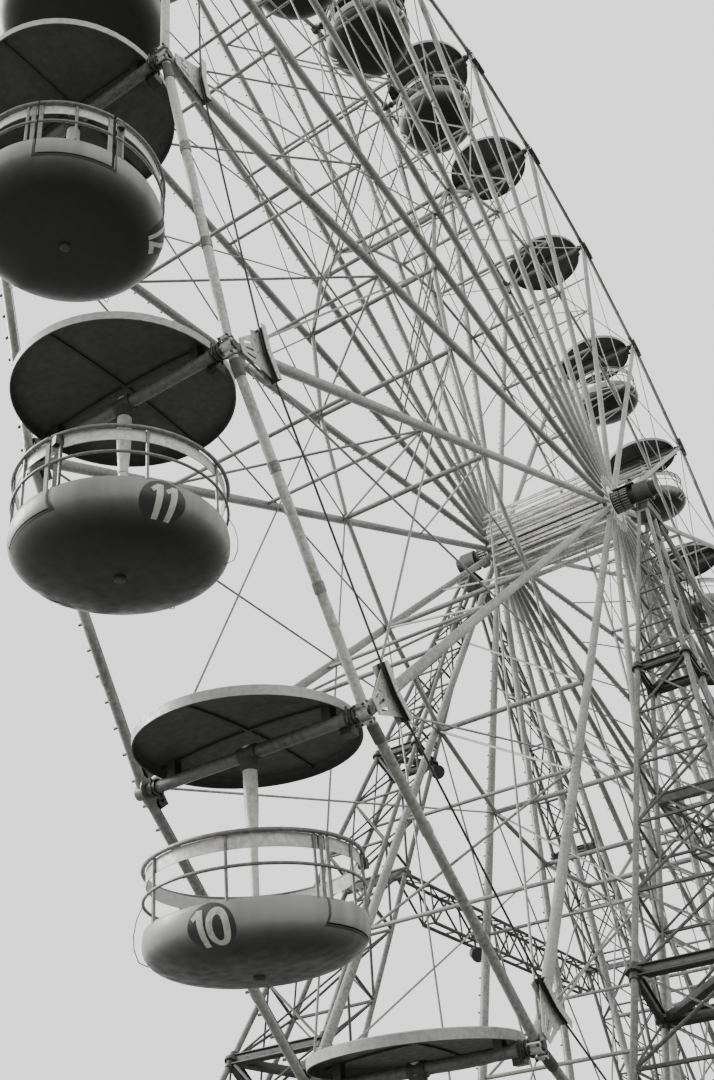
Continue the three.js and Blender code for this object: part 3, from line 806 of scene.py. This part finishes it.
def wheel_side(side):
    x = side * SIDE_X
    root_x = side * SPOKE_ROOT["x"]
    parts = []
    for n in range(1, CAR_COUNT + 1):
        a = car_angle(n)
        here, following = on_wheel(x, PIVOT_RADIUS, a), on_wheel(x, PIVOT_RADIUS, a + STEP)
        rim = tube(here, following, RIM_TUBE)
        # The right rim's tubes between cars 10 and 17 take the lighter enamel as painted light.
        parts.append(painted(rim, PALE_PAINT_AND_LIT_ENAMEL if side > 0 and n in LIT_RIM_TUBES else TUBE_ENAMEL))
        root = on_wheel(root_x, SPOKE_ROOT["radius"], a)
        parts.append(tube(root, on_wheel(x, PIVOT_RADIUS - 0.02, a), SPOKE_TUBE))
        socket = on_wheel(x, PIVOT_RADIUS - 0.2, a), on_wheel(x, PIVOT_RADIUS + 0.03, a)
        parts.append(tube(*socket, SPOKE_TUBE + RIM_SLEEVE["extra"]))
        for ahead in (-2, 2):
            near_rim = on_wheel(x, PIVOT_RADIUS - 0.1, a)
            parts.append(rod(near_rim, on_wheel(x - side * 0.05, RING_RADIUS, a + ahead * STEP)))
        along = (following - here).normalized() * RIM_SLEEVE["half"]
        for share in RIM_SLEEVE["shares"]:
            sleeve = here.lerp(following, share)
            parts.append(tube(sleeve - along, sleeve + along, RIM_TUBE + RIM_SLEEVE["extra"]))
    for part in parts:
        if not part.data.materials:
            painted(part, TUBE_ENAMEL)
    return parts


for side_name, side in SIDES:
    lattice = together(f"{side_name}_rim_and_spokes", wheel_side(side))
    dressed(lattice, "wheel", "grey_paint", f"{side_name}_wheel_side")
print("wheel sides done")


# %% [markdown]
# The ring half way out is a lighter tube on both sides, with a heavy rung across at every spoke. Two
# more circles of lighter rungs lie further out, joined by slanting rods, so that the two sides stay
# upright.

# %% Ring and rungs
def ring_and_rungs():
    parts = []
    inner_x = SIDE_X - 0.043 - RING_TUBE
    near, middle, far = RUNG_CIRCLES
    half = RUNG_HALF
    for n in range(1, CAR_COUNT + 1):
        a = car_angle(n)
        for x in (-inner_x, inner_x):
            parts.append(tube(on_wheel(x, RING_RADIUS, a), on_wheel(x, RING_RADIUS, a + STEP), RING_TUBE))
        for radius, thick in zip(RUNG_CIRCLES, RUNG_TUBES):
            parts.append(tube(on_wheel(-half, radius, a), on_wheel(half, radius, a), thick))
        for x, inner, outer in ((-half, near, middle), (half, middle, far), (-half, TIE["root"], near)):
            parts.append(rod(on_wheel(x, inner, a), on_wheel(-x, outer, a), TIE["thick"]))
    return parts


ring = welded("ring_and_rungs", ring_and_rungs(), TUBE_ENAMEL)
dressed(ring, "wheel", "grey_paint", "middle_ring")
print("ring polygons", len(ring.data.polygons))


# %% [markdown]
# ### Hub
# The spokes end between two round flanges. Three rings of long tie rods join the two sides: the inner
# ones from flange to flange, the outer ones from spoke to spoke. Outside each flange sits a ribbed
# collar, and a sheet painted black as painted shade covers the right one.

# %% Hub
def hub_parts():
    parts = []
    for side in (-1, 1):
        for x in FLANGE["x"]:
            parts.append(disc((side * x, 0, HUB_HEIGHT), (1, 0, 0), FLANGE["radius"], FLANGE["thick"], 48))
        for n in range(CAR_COUNT):
            start, end = (on_wheel(side * x, FLANGE_BOLT["circle"], STEP * n) for x in FLANGE_BOLT["x"])
            parts.append(rod(start, end, FLANGE_BOLT["radius"]))
    for n in range(CAR_COUNT):
        for radius, thick, turn in HUB_RODS:
            a = car_angle(n) + turn
            parts.append(rod(on_wheel(-HUB_ROD_HALF, radius, a), on_wheel(HUB_ROD_HALF, radius, a), thick))
    return parts


# Each disc of a collar has its distance from the wheel's middle, its radius and its thickness.
COLLAR_DISCS = ((1.046, 0.182, 0.014), (1.178, 0.148, 0.26), (1.178, 0.172, 0.014), (1.311, 0.182, 0.014))
RIB_CIRCLE = 0.16
COVER = {"x": 1.245, "radius": 0.21, "length": 0.35, "thick": 0.006, "arc": (130, 230), "step": 10}
COVER_TOP = HUB_HEIGHT + 0.205


def collar(side):
    """A dark drum with two rows of short ribs between its rings, painted light as painted highlights."""
    drum = [
        disc((side * x, 0, HUB_HEIGHT), (1, 0, 0), radius, thick, 36) for x, radius, thick in COLLAR_DISCS
    ]
    ribs = []
    for n in range(CAR_COUNT):
        outward = on_wheel(0, 1, STEP * n) - HUB
        for x0, x1 in ((1.055, 1.168), (1.188, 1.302)):
            ends = [Vector((side * x, 0, HUB_HEIGHT)) + outward * RIB_CIRCLE for x in (x0, x1)]
            ribs.append(flat_bar(*ends, 0.013, 0.032, outward))
    return [welded("drum", drum, OILED_STEEL), welded("ribs", ribs, PALE_PAINT_AND_LIT_ENAMEL)]


def collar_cover():
    """A bent sheet over the right collar, held by the bearing, with an upright tab at its end, painted
    black as painted shade.
    """
    parts = []
    x, radius, step = COVER["x"], COVER["radius"], COVER["step"]
    for angle in range(*COVER["arc"], step):
        outward = on_wheel(0, 1, angle + step / 2) - HUB
        start, end = on_wheel(x, radius, angle), on_wheel(x, radius, angle + step)
        parts.append(flat_bar(start, end, COVER["length"], COVER["thick"], outward))
    top = COVER_TOP
    parts.append(block((1.36, -0.03, top), (1.368, 0.03, top + 0.11)))
    parts.append(block((1.33, -0.03, top), (1.42, 0.03, top + 0.014)))
    parts.append(block((1.34, -0.03, top + 0.1), (1.388, 0.03, top + 0.11)))
    return parts


# The hub's cage is painted near white as painted light.
hub = welded("hub_cage", hub_parts(), LIT_ROD_ENAMEL)
dressed(hub, "wheel", "grey_paint", "hub_drum")
for side_name, side in SIDES:
    toothed = together(f"{side_name}_toothed_collar", collar(side))
    dressed(toothed, "wheel", "bare_steel", f"{side_name}_hub_collar")
dressed(welded("collar_cover", collar_cover(), LAMP_BLACK), "frame", "dark_paint")
painted(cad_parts["hub_shaft"], OILED_STEEL)
print("hub rods", CAR_COUNT * len(HUB_RODS), "hub polygons", len(hub.data.polygons))


# %% [markdown]
# ### Rope drive
# A wire rope lies round the right side of the wheel, in a channel at every spoke. A fan-shaped plate with
# slots and holes ties each channel to the rim's joint. What repeats at every spoke is modelled once,
# straight below the hub, and then copied round.

# %% Plates and copies round the wheel
def plate(corners, push):
    """A flat plate with four corners, drawn as one face and pulled out to its thickness."""
    bpy.ops.mesh.primitive_plane_add(size=1)
    made = bpy.context.active_object
    for vertex, corner in zip(made.data.vertices, [corners[i] for i in (0, 1, 3, 2)]):
        vertex.co = corner
    bpy.ops.object.mode_set(mode="EDIT")
    bpy.ops.mesh.select_all(action="SELECT")
    bpy.ops.mesh.extrude_region_move(TRANSFORM_OT_translate={"value": push})
    bpy.ops.mesh.select_all(action="SELECT")
    bpy.ops.mesh.normals_make_consistent(inside=False)
    bpy.ops.object.mode_set(mode="OBJECT")
    return made


def at_every_spoke(name, pattern):
    """Copies of a piece that was modelled straight below the hub, one at each spoke."""
    copies = []
    for n in range(1, CAR_COUNT + 1):
        turn = Matrix.Rotation(-math.radians(car_angle(n)), 4, "X")
        copies.append(copy_of(pattern, Matrix.Translation(HUB) @ turn @ Matrix.Translation(-HUB)))
    remove(pattern)
    return together(name, copies)


def below_hub(x, y, radius):
    """A place near the wheel's lowest spoke, aside from it by y and at a radius from the axle."""
    return Vector((x, y, HUB_HEIGHT - radius))


# %% [markdown]
# A shoe is a shallow channel of dark sheet between two light flanges, bent at the middle. Its inner flange
# leans outwards and its outer one stands upright. The rope runs straight from each shoe to the next.

# %% Shoes and rope
FAN = {"x": 1.049, "top": 10.44, "thick": 0.007, "top_half": 0.06, "low_half": 0.19}
ROPE_HALF = 0.009
SHOE_HALF = 0.228
SHOE_DROP = math.tan(math.radians(STEP / 2)) * SHOE_HALF
WEB_RADIUS = ROPE_RADIUS - 0.014


def fan_plate():
    """The slotted plate between a rim joint and its channel."""
    x, narrow, wide = FAN["x"], FAN["top_half"], FAN["low_half"]
    high, low = FAN["top"], WEB_RADIUS - 0.01
    corners = ((-narrow, high), (narrow, high), (wide, low), (-wide, low))
    fan = plate([below_hub(x, y, radius) for y, radius in corners], (FAN["thick"], 0, 0))
    cutters = []
    for way in (-1, 0, 1):
        start, end = below_hub(x, way * 0.045, 10.38), below_hub(x, way * 0.068, 10.275)
        cutters.append(flat_bar(start, end, 0.022, 0.05, (1, 0, 0)))
        cutters.append(disc(below_hub(x, way * 0.1, 10.21), (1, 0, 0), 0.01, 0.05, 12))
    for cutter in cutters:
        cut(fan, cutter, "DIFFERENCE")
    remove(*cutters)
    return fan


def shoe():
    seat = below_hub(ROPE_X, 0, WEB_RADIUS)
    light, dark = [fan_plate()], []
    for way in (-1, 1):
        end = seat + Vector((0, way * SHOE_HALF, SHOE_DROP))
        dark.append(flat_bar(seat, end, 0.092, 0.008, (0, 0, 1)))
        for side in (-1, 1):
            lean = Vector((min(side, 0) * 0.35, 0, -1)).normalized()
            edge = Vector((side * 0.045, 0, 0)) + lean * 0.024
            light.append(flat_bar(seat + edge, end + edge, 0.007, 0.056, lean))
    for way in (-0.5, 0.5):
        bolt = seat + Vector((0, way * SHOE_HALF, SHOE_DROP / 2))
        dark += [rod(bolt + Vector((x, 0, 0)), bolt + Vector((x, 0, 0.014)), 0.012) for x in (-0.03, 0.03)]
    return together("shoe", [welded("channel", light, PALE_PAINT_AND_LIT_ENAMEL), welded("web", dark, BITUMEN_PAINT)])


dressed(at_every_spoke("rope_shoes", shoe()), "wheel", "grey_paint")
bends = [on_wheel(ROPE_X, ROPE_RADIUS, car_angle(n)) for n in range(1, CAR_COUNT + 2)]
rope_parts = [rod(start, end, ROPE_HALF) for start, end in zip(bends, bends[1:])]
dressed(welded("drive_rope_dress", rope_parts, WIRE_ROPE), "wheel", "rope_steel", "drive_rope")
print("rope straights", CAR_COUNT)


# %% [markdown]
# ### Joints at the rims
# Where a spoke, two rim tubes and a car's axle meet, clamps hold them. On the right a bolted flange takes
# the axle, bands go round the rim tubes and a dark socket joins the next one. On the left a bracket and two
# small boxes sit at the joint.

# %% Rim joints
def rim_line(way, distance, inside=0.0):
    """A place along the rim tube that leaves the lowest joint one way, and how far it is from there."""
    a = math.radians(STEP / 2)
    along = Vector((0, way * math.cos(a), math.sin(a)))
    inward = Vector((0, -way * math.sin(a), math.cos(a)))
    return below_hub(0, 0, PIVOT_RADIUS) + along * distance + inward * inside


def rim_sleeve(x, way, start, end, radius):
    aside = Vector((x, 0, 0))
    return tube(rim_line(way, start) + aside, rim_line(way, end) + aside, radius)


def right_joint():
    dark, light = [], []
    dark.append(disc(below_hub(0.938, 0, PIVOT_RADIUS), (1, 0, 0), 0.07, 0.012, 24))
    dark.append(disc(below_hub(1.036, 0, PIVOT_RADIUS), (1, 0, 0), 0.036, 0.03, 20))
    for n in range(6):
        a = math.radians(60 * n)
        bolt = below_hub(0.926, 0.055 * math.sin(a), PIVOT_RADIUS + 0.055 * math.cos(a))
        light.append(rod(bolt, bolt + Vector((0.03, 0, 0)), 0.008))
    for way in (-1, 1):
        dark.append(rim_sleeve(SIDE_X, way, 0.06, 0.074, RIM_TUBE + 0.007))
        tab = rim_line(way, 0.067) + Vector((SIDE_X, 0, 0))
        light.append(block(tab - Vector((0.05, 0.013, 0.06)), tab + Vector((0.05, 0.013, -0.044))))
        for x in (-0.036, 0.036):
            bolt = tab + Vector((x, 0, -0.075))
            dark.append(rod(bolt, bolt + Vector((0, 0, 0.03)), 0.009))
    # Angles grow towards the front, so the lower neighbour of a rising joint lies towards the back.
    socket = painted(rim_sleeve(SIDE_X, 1, 0.1, 0.235, RIM_TUBE + 0.006), BRACE_ENAMEL)
    light.append(tube(below_hub(0.945, 0, PIVOT_RADIUS), below_hub(1.03, 0, PIVOT_RADIUS), 0.05))
    bands = welded("bands", dark, OILED_STEEL)
    return together("right_joint", [bands, welded("ring", light, PALE_PAINT_AND_LIT_ENAMEL), socket])


def left_joint():
    dark, light = [], []
    light.append(tube(below_hub(-1.052, 0, PIVOT_RADIUS), below_hub(-0.945, 0, PIVOT_RADIUS), 0.056))
    light.append(disc(below_hub(-0.951, 0, PIVOT_RADIUS), (1, 0, 0), 0.095, 0.012, 24))
    for way in (-1, 1):
        light.append(rim_sleeve(-SIDE_X, way, 0.04, 0.11, RIM_TUBE + 0.008))
        corner = rim_line(way, 0.13, 0.045) + Vector((-SIDE_X, 0, 0))
        dark.append(block(corner - Vector((0.045, 0.05, 0.01)), corner + Vector((0.045, 0.05, 0.085))))
        dark.append(rod(corner + Vector((-0.06, 0, 0.04)), corner + Vector((0.06, 0, 0.04)), 0.01))
    boxes = welded("boxes", dark, OILED_STEEL)
    return together("left_joint", [boxes, welded("bracket", light, TUBE_ENAMEL)])


dressed(at_every_spoke("right_rim_joints", right_joint()), "wheel", "grey_paint")
dressed(at_every_spoke("left_rim_joints", left_joint()), "wheel", "grey_paint")
print("rim joints", 2 * CAR_COUNT)


# %% [markdown]
# Pegs for lamps stand out from the left rim and from every left spoke, and a thin wire runs along the rim
# from box to box.

# %% Lamp pegs and their wire
RIM_PEGS = 13


def lamp_pegs():
    """The pegs of the rim tube and the spoke at the lowest joint, and the wire from box to box."""
    rim_length = 2 * PIVOT_RADIUS * math.sin(math.radians(STEP / 2))
    parts = []
    for i in range(RIM_PEGS):
        peg = rim_line(1, rim_length * (i + 0.5) / RIM_PEGS) + Vector((-SIDE_X, 0, 0))
        parts.append(rod(peg + Vector((-0.03, 0, 0)), peg + Vector((-0.078, 0, 0)), 0.012))
    for i in range(2, 48):
        peg = below_hub(-SIDE_X, 0, 0.4 + 0.2 * i)
        parts.append(rod(peg + Vector((-0.04, 0, 0)), peg + Vector((-0.076, 0, 0)), 0.01))
    ends = (0.15, rim_length - 0.15)
    wire = [rim_line(1, distance, 0.062) + Vector((-SIDE_X, 0, 0)) for distance in ends]
    parts.append(rod(*wire, 0.004))
    return together("pegs", parts)


dressed(painted(at_every_spoke("lamp_pegs", lamp_pegs()), LAMP_BLACK), "wheel", "grey_paint")
print("lamp pegs on the rim", RIM_PEGS * CAR_COUNT)

# %% [markdown]
# ## The towers
# Each tower is an A of two lattice legs. A leg has four slim tubes that spread towards the ground, with
# thin struts and crossed braces between them, and two dark channel frames where its sections are bolted
# together. The struts and frames lie square to the leg, so they are all a little aslant.

# %% Places in a leg
LEG_CORNERS = ((-1, -1), (1, -1), (1, 1), (-1, 1))
LEG_END = 0.992
BRIDGE = {"share": 0.4448, "half_x": 0.075, "depth": 0.42, "panels": 12, "end": 3.5255, "aside": 0.3206}
BRIDGE_SEAT = {"half_x": 0.44, "half": 0.036, "reach": 0.06}


def leg_place(sx, sy, u, v, share):
    """A place in a leg at a share of its length, with u and v from -1 to 1 across it."""
    half = LEG_TOP["half"].lerp(LEG_FOOT["half"], share)
    mixed = {key: LEG_TOP[key] + (LEG_FOOT[key] - LEG_TOP[key]) * share for key in ("x", "y", "z")}
    return Vector((sx * (mixed["x"] + u * half.x), sy * (mixed["y"] + v * half.y), mixed["z"]))


def square_place(sx, sy, u, v, share):
    """A place at a level that is square to the leg, so it is higher at the outside of the A."""
    return leg_place(sx, sy, u, v, min(share * (1 - FRAME_TILT * v), LEG_END))


def section_levels(frame_level, panels):
    """The struts of the section above a frame, with the frame's own level at the end."""
    return [frame_level - PANEL_SHARE * i for i in range(panels, -1, -1)]


TOP_SECTION = section_levels(FRAME_LEVELS[0], 4)
TOP_SECTION.insert(-1, FRAME_LEVELS[0] - 0.0207)
LOW_SECTION = [FRAME_LEVELS[1] + PANEL_SHARE * i for i in range(1, 6)]
LEVELS = TOP_SECTION + section_levels(FRAME_LEVELS[1], 4) + LOW_SECTION + [LEG_END]
print("leg levels", [round(level, 3) for level in LEVELS])


# %% [markdown]
# A leg's four tubes end in foot plates with bolts below and in one cap plate above. The struts go round it
# at every level, and two rods cross in every panel, one thinner than the other.

# %% Legs
CHORD, STRUT, BRACES = 0.029, 0.017, (0.014, 0.011)
FOOT = {"half": 0.2, "high": 0.04, "bolt": 0.15}


def leg_chords(sx, sy):
    ends = (0.001, 0.999)
    return [tube(*[leg_place(sx, sy, u, v, share) for share in ends], CHORD) for u, v in LEG_CORNERS]


def leg_bracing(sx, sy):
    parts = []
    for index, (u, v) in enumerate(LEG_CORNERS):
        next_u, next_v = LEG_CORNERS[(index + 1) % 4]
        for top, low in zip(LEVELS, LEVELS[1:]):
            here, there = square_place(sx, sy, u, v, top), square_place(sx, sy, next_u, next_v, top)
            here_low, there_low = square_place(sx, sy, u, v, low), square_place(sx, sy, next_u, next_v, low)
            parts.append(rod(here, there, STRUT))
            if low - top > PANEL_SHARE / 2:
                parts.append(rod(here, there_low, BRACES[0]))
                parts.append(rod(there, here_low, BRACES[1]))
    return parts


def leg_feet(sx, sy):
    parts = []
    half, high, aside = FOOT.values()
    for u, v in LEG_CORNERS:
        foot = leg_place(sx, sy, u, v, 1)
        parts.append(block((foot.x - half, foot.y - half, 0), (foot.x + half, foot.y + half, high)))
        parts.append(tube(Vector((foot.x, foot.y, 0.03)), Vector((foot.x, foot.y, 0.12)), 0.05))
        for dx, dy in LEG_CORNERS:
            bolt = Vector((foot.x + dx * aside, foot.y + dy * aside, 0.03))
            parts.append(rod(bolt, bolt + Vector((0, 0, 0.04)), 0.018))
    top = Vector((sx * LEG_TOP["x"], sy * LEG_TOP["y"], 11.9067))
    parts.append(block(top - Vector((0.095, 0.19, 0.013)), top + Vector((0.095, 0.19, 0.013))))
    return parts


def bridge_seat(sx, sy):
    """The level bar at the leg's inside that carries an end of the bridge."""
    seat = leg_place(sx, sy, 0, -1, BRIDGE["share"])
    inner, outer = sy * (abs(seat.y) - BRIDGE_SEAT["reach"]), sy * (abs(seat.y) + BRIDGE_SEAT["half"])
    low_corner = (seat.x - BRIDGE_SEAT["half_x"], min(inner, outer), seat.z - BRIDGE_SEAT["half"])
    high_corner = (seat.x + BRIDGE_SEAT["half_x"], max(inner, outer), seat.z + BRIDGE_SEAT["half"])
    return block(low_corner, high_corner)


def dark_frames(sx, sy):
    """The channel frames where a leg's sections are bolted together, each with one bar across it."""
    parts = []
    for share in FRAME_LEVELS:
        corners = [square_place(sx, sy, u, v, share) for u, v in LEG_CORNERS]
        square = (corners[1] - corners[0]).cross(corners[3] - corners[0]).normalized()
        for index, corner in enumerate(corners):
            following = corners[(index + 1) % 4]
            parts.append(flat_bar(corner, following, 0.012, 0.11, square))
            for lift in (square * -0.05, square * 0.05):
                parts.append(flat_bar(corner + lift, following + lift, 0.055, 0.01, square))
            parts.append(tube(corner - square * 0.08, corner + square * 0.08, 0.042))
            parts.append(disc(corner, square, 0.07, 0.03, 12))
        parts.append(flat_bar(corners[0], corners[2], 0.06, 0.07, square))
    return parts


for end_name, sy in (("near", -1), ("far", 1)):
    for side_name, sx in SIDES:
        leg = f"{end_name}_{side_name}_leg"
        chords = welded(f"{leg}_chords", leg_chords(sx, sy) + leg_feet(sx, sy), TOWER_ENAMEL)
        bracing = welded(f"{leg}_bracing", leg_bracing(sx, sy) + [bridge_seat(sx, sy)], BRACE_ENAMEL)
        dressed(together(f"{leg}_lattice", [chords, bracing]), "frame", "grey_paint", leg)
        heavy = welded(f"{leg}_section_frames", dark_frames(sx, sy), BITUMEN_PAINT)
        dressed(heavy, "frame", "dark_paint")
print("legs done")

# %% [markdown]
# Half way up, a dark lattice bridge ties the two legs of each tower. It is narrow and lies a little
# aslant, from the inner edge of the near leg to the outer edge of the far one. Two level bars on the legs
# carry its ends.

# %% Bridges
def bridge_parts(sx):
    middle = leg_place(sx, 1, 0, -1, BRIDGE["share"])
    end, aside, count = BRIDGE["end"], BRIDGE["aside"], BRIDGE["panels"]
    along = Vector((sx * aside, end, 0)).normalized()
    across = Vector((along.y, -along.x, 0))

    def node(i, side, z):
        y = -end + 2 * end * i / count
        return Vector((middle.x + sx * aside * y / end, y, z)) + across * (side * BRIDGE["half_x"])

    top, low = middle.z, middle.z - BRIDGE["depth"]
    parts = []
    for side in (-1, 1):
        parts.append(tube(node(0, side, top), node(count, side, top), 0.021))
        parts.append(tube(node(1, side, low), node(count - 1, side, low), 0.021))
        for i in range(count):
            a, b = (top, low) if i % 2 == 0 else (low, top)
            parts.append(rod(node(i, side, a), node(i + 1, side, b), 0.014))
            if i % 2:
                parts.append(rod(node(i, side, low), node(i, side, top), 0.011))
    for i in range(count + 1):
        for z in (top, low) if 0 < i < count else (top,):
            parts.append(rod(node(i, -1, z), node(i, 1, z), 0.012))
        if i < count:
            side = 1 if i % 2 else -1
            parts.append(rod(node(i, side, top), node(i + 1, -side, top), 0.009))
    return parts


for side_name, sx in SIDES:
    lattice = welded(f"{side_name}_bridge_lattice", bridge_parts(sx), BRIDGE_PAINT)
    dressed(lattice, "frame", "dark_paint", f"{side_name}_bridge")
print("bridges done")


# %% [markdown]
# On top of each tower a plate gusset, shaped like a low trapezoid, joins the two legs. The bearing block
# of the main shaft stands on it.

# %% Tower heads and bearings
HEAD = {"low": 11.92, "high": 12.2, "half_x": 0.11, "low_y": 0.45, "high_y": 0.24}


def gusset(x, thick):
    """One plate of the head, shaped like a low trapezoid."""
    low_y, high_y = HEAD["low_y"], HEAD["high_y"]
    low, high = HEAD["low"], HEAD["high"]
    corners = [(x, -low_y, low), (x, low_y, low), (x, high_y, high), (x, -high_y, high)]
    return plate([Vector(corner) - Vector((thick / 2, 0, 0)) for corner in corners], (thick, 0, 0))


def head_parts(sx):
    x, half_x = sx * LEG_TOP["x"], HEAD["half_x"]
    parts = [gusset(x + offset, 0.016) for offset in (-half_x + 0.03, half_x - 0.03)]
    for z, half_y in ((HEAD["low"] + 0.012, HEAD["low_y"]), (HEAD["high"] - 0.012, HEAD["high_y"])):
        parts.append(block((x - half_x, -half_y, z - 0.012), (x + half_x, half_y, z + 0.012)))
    inner = half_x - 0.02
    for y in (-0.22, 0, 0.22):
        parts.append(block((x - inner, y - 0.008, HEAD["low"]), (x + inner, y + 0.008, HEAD["high"])))
    for side in (-1, 1):
        for y in (-0.32, -0.12, 0.12, 0.32):
            bolt = Vector((x + side * (half_x - 0.025), y, HEAD["low"] + 0.05))
            parts.append(rod(bolt, bolt + Vector((side * 0.02, 0, 0)), 0.014))
    return parts


BEARING = {"half_x": 0.12, "half_y": 0.205, "top": 12.74}


def bearing_parts(sx):
    x, half_x, half_y = sx * LEG_TOP["x"], BEARING["half_x"], BEARING["half_y"]
    base = HEAD["high"] + 0.0003
    parts = [
        block((x - half_x, -half_y, base), (x + half_x, half_y, base + 0.045)),
        block((x - 0.09, -half_y + 0.01, base + 0.04), (x + 0.09, half_y - 0.01, HUB_HEIGHT)),
        disc((x, 0, HUB_HEIGHT), (1, 0, 0), half_y, 0.2, 48),
        disc((x, 0, HUB_HEIGHT), (1, 0, 0), half_y - 0.035, 2 * half_x, 48),
        disc((x, 0, BEARING["top"] - 0.025), (0, 0, 1), 0.022, 0.05, 12),
    ]
    for y in (-half_y + 0.02, half_y - 0.02):
        for offset in (-0.07, 0.07):
            foot = Vector((x + offset, y, base + 0.04))
            parts.append(rod(foot, foot + Vector((0, 0, 0.03)), 0.02))
    hole = disc((x, 0, HUB_HEIGHT), (1, 0, 0), 0.1256, 0.5, 48)
    housing = cut(together("bearing", parts), hole, "DIFFERENCE")
    remove(hole)
    return [housing]


for side_name, sx in SIDES:
    head = welded(f"{side_name}_head_gussets", head_parts(sx), BITUMEN_PAINT)
    dressed(head, "frame", "dark_paint", f"{side_name}_tower_head")
    housing = welded(f"{side_name}_bearing_housing", bearing_parts(sx), BRACE_ENAMEL)
    dressed(soft_edges(housing, 40), "frame", "bare_steel", f"{side_name}_bearing")
print("heads and bearings done")


# %% [markdown]
# Two small round floodlights light the wheel. One hangs from the near left leg at its upper frame, and the
# other from the left bridge.

# %% Floodlights
ON_BRIDGE = Vector((-1.64, -1.76, 6.2))


def floodlight(place, aim):
    """A small round lamp that hangs from a short arm and looks along aim."""
    aim = Vector(aim).normalized()
    lamp = place - Vector((0, 0, 0.16))
    shell, rim = disc(lamp, aim, 0.075, 0.12, 24), disc(lamp + aim * 0.065, aim, 0.09, 0.02, 24)
    return [shell, rim, rod(lamp, place, 0.014)]


on_leg = leg_place(-1, -1, -1, -1, FRAME_LEVELS[0])
lamps = floodlight(on_leg, (0.5, -0.4, -0.4)) + floodlight(ON_BRIDGE, (0.5, -0.5, -0.3))
dressed(welded("floodlights", lamps, LAMP_BLACK), "frame", "dark_paint")
remove(TUBE_PATTERN, ROD_PATTERN, BAR_PATTERN)

# %% [markdown]
# ## Floor, light and camera
# A pale floor and two large soft lamps stand in for a studio.

# %% Studio
bpy.ops.mesh.primitive_plane_add(size=240, location=(0, 0, -0.002))
floor = bpy.context.active_object
floor.name = "studio_floor"
painted(floor, finish_of("pale_studio_floor", "#787876", "#727270", 0.9))

world = bpy.data.worlds.new("studio_air")
bpy.context.scene.world = world
world.use_nodes = True
sky = world.node_tree.nodes["Background"]
sky.inputs["Color"].default_value = linear("#efefef")
sky.inputs["Strength"].default_value = 1.9


LIT_PLACE = Vector((0, 0, 9))


def soft_lamp(name, place, size, watts):
    data = bpy.data.lights.new(name, "AREA")
    data.size = size
    data.energy = watts
    lamp = bpy.data.objects.new(name, data)
    lamp.location = place
    lamp.rotation_mode = "QUATERNION"
    lamp.rotation_quaternion = (LIT_PLACE - Vector(place)).to_track_quat("-Z", "Y")
    bpy.context.scene.collection.objects.link(lamp)


soft_lamp("key_lamp", (-30, -20, 24), 16, 34000)
soft_lamp("fill_lamp", (26, -14, 26), 20, 2500)
print("lamps", len(bpy.data.lights))

# %% [markdown]
# The camera stands low in front of the wheel, to the right of its middle, and looks steeply up to the left.
# Its place, turn and lens were worked out from measured points, so they are plain numbers.

# %% Camera
CAMERA_PLACE = Vector((4.3968, -14.2806, 3.0805))
camera_data = bpy.data.cameras.new("camera")
camera = bpy.data.objects.new("camera", camera_data)
bpy.context.scene.collection.objects.link(camera)
bpy.context.scene.camera = camera
camera_data.sensor_width = 36
camera_data.lens = 36.1757
camera_data.clip_end = 300
CAMERA_RIGHT = Vector((0.834954, 0.541743, -0.096776))
CAMERA_DOWN = Vector((-0.368829, 0.42036, -0.829013))
CAMERA_AHEAD = Vector((-0.408431, 0.727882, 0.550792))
turned_to = Matrix((CAMERA_RIGHT, -CAMERA_DOWN, -CAMERA_AHEAD)).transposed().to_4x4()
camera.matrix_world = Matrix.Translation(CAMERA_PLACE) @ turned_to
print("camera lens", camera_data.lens)
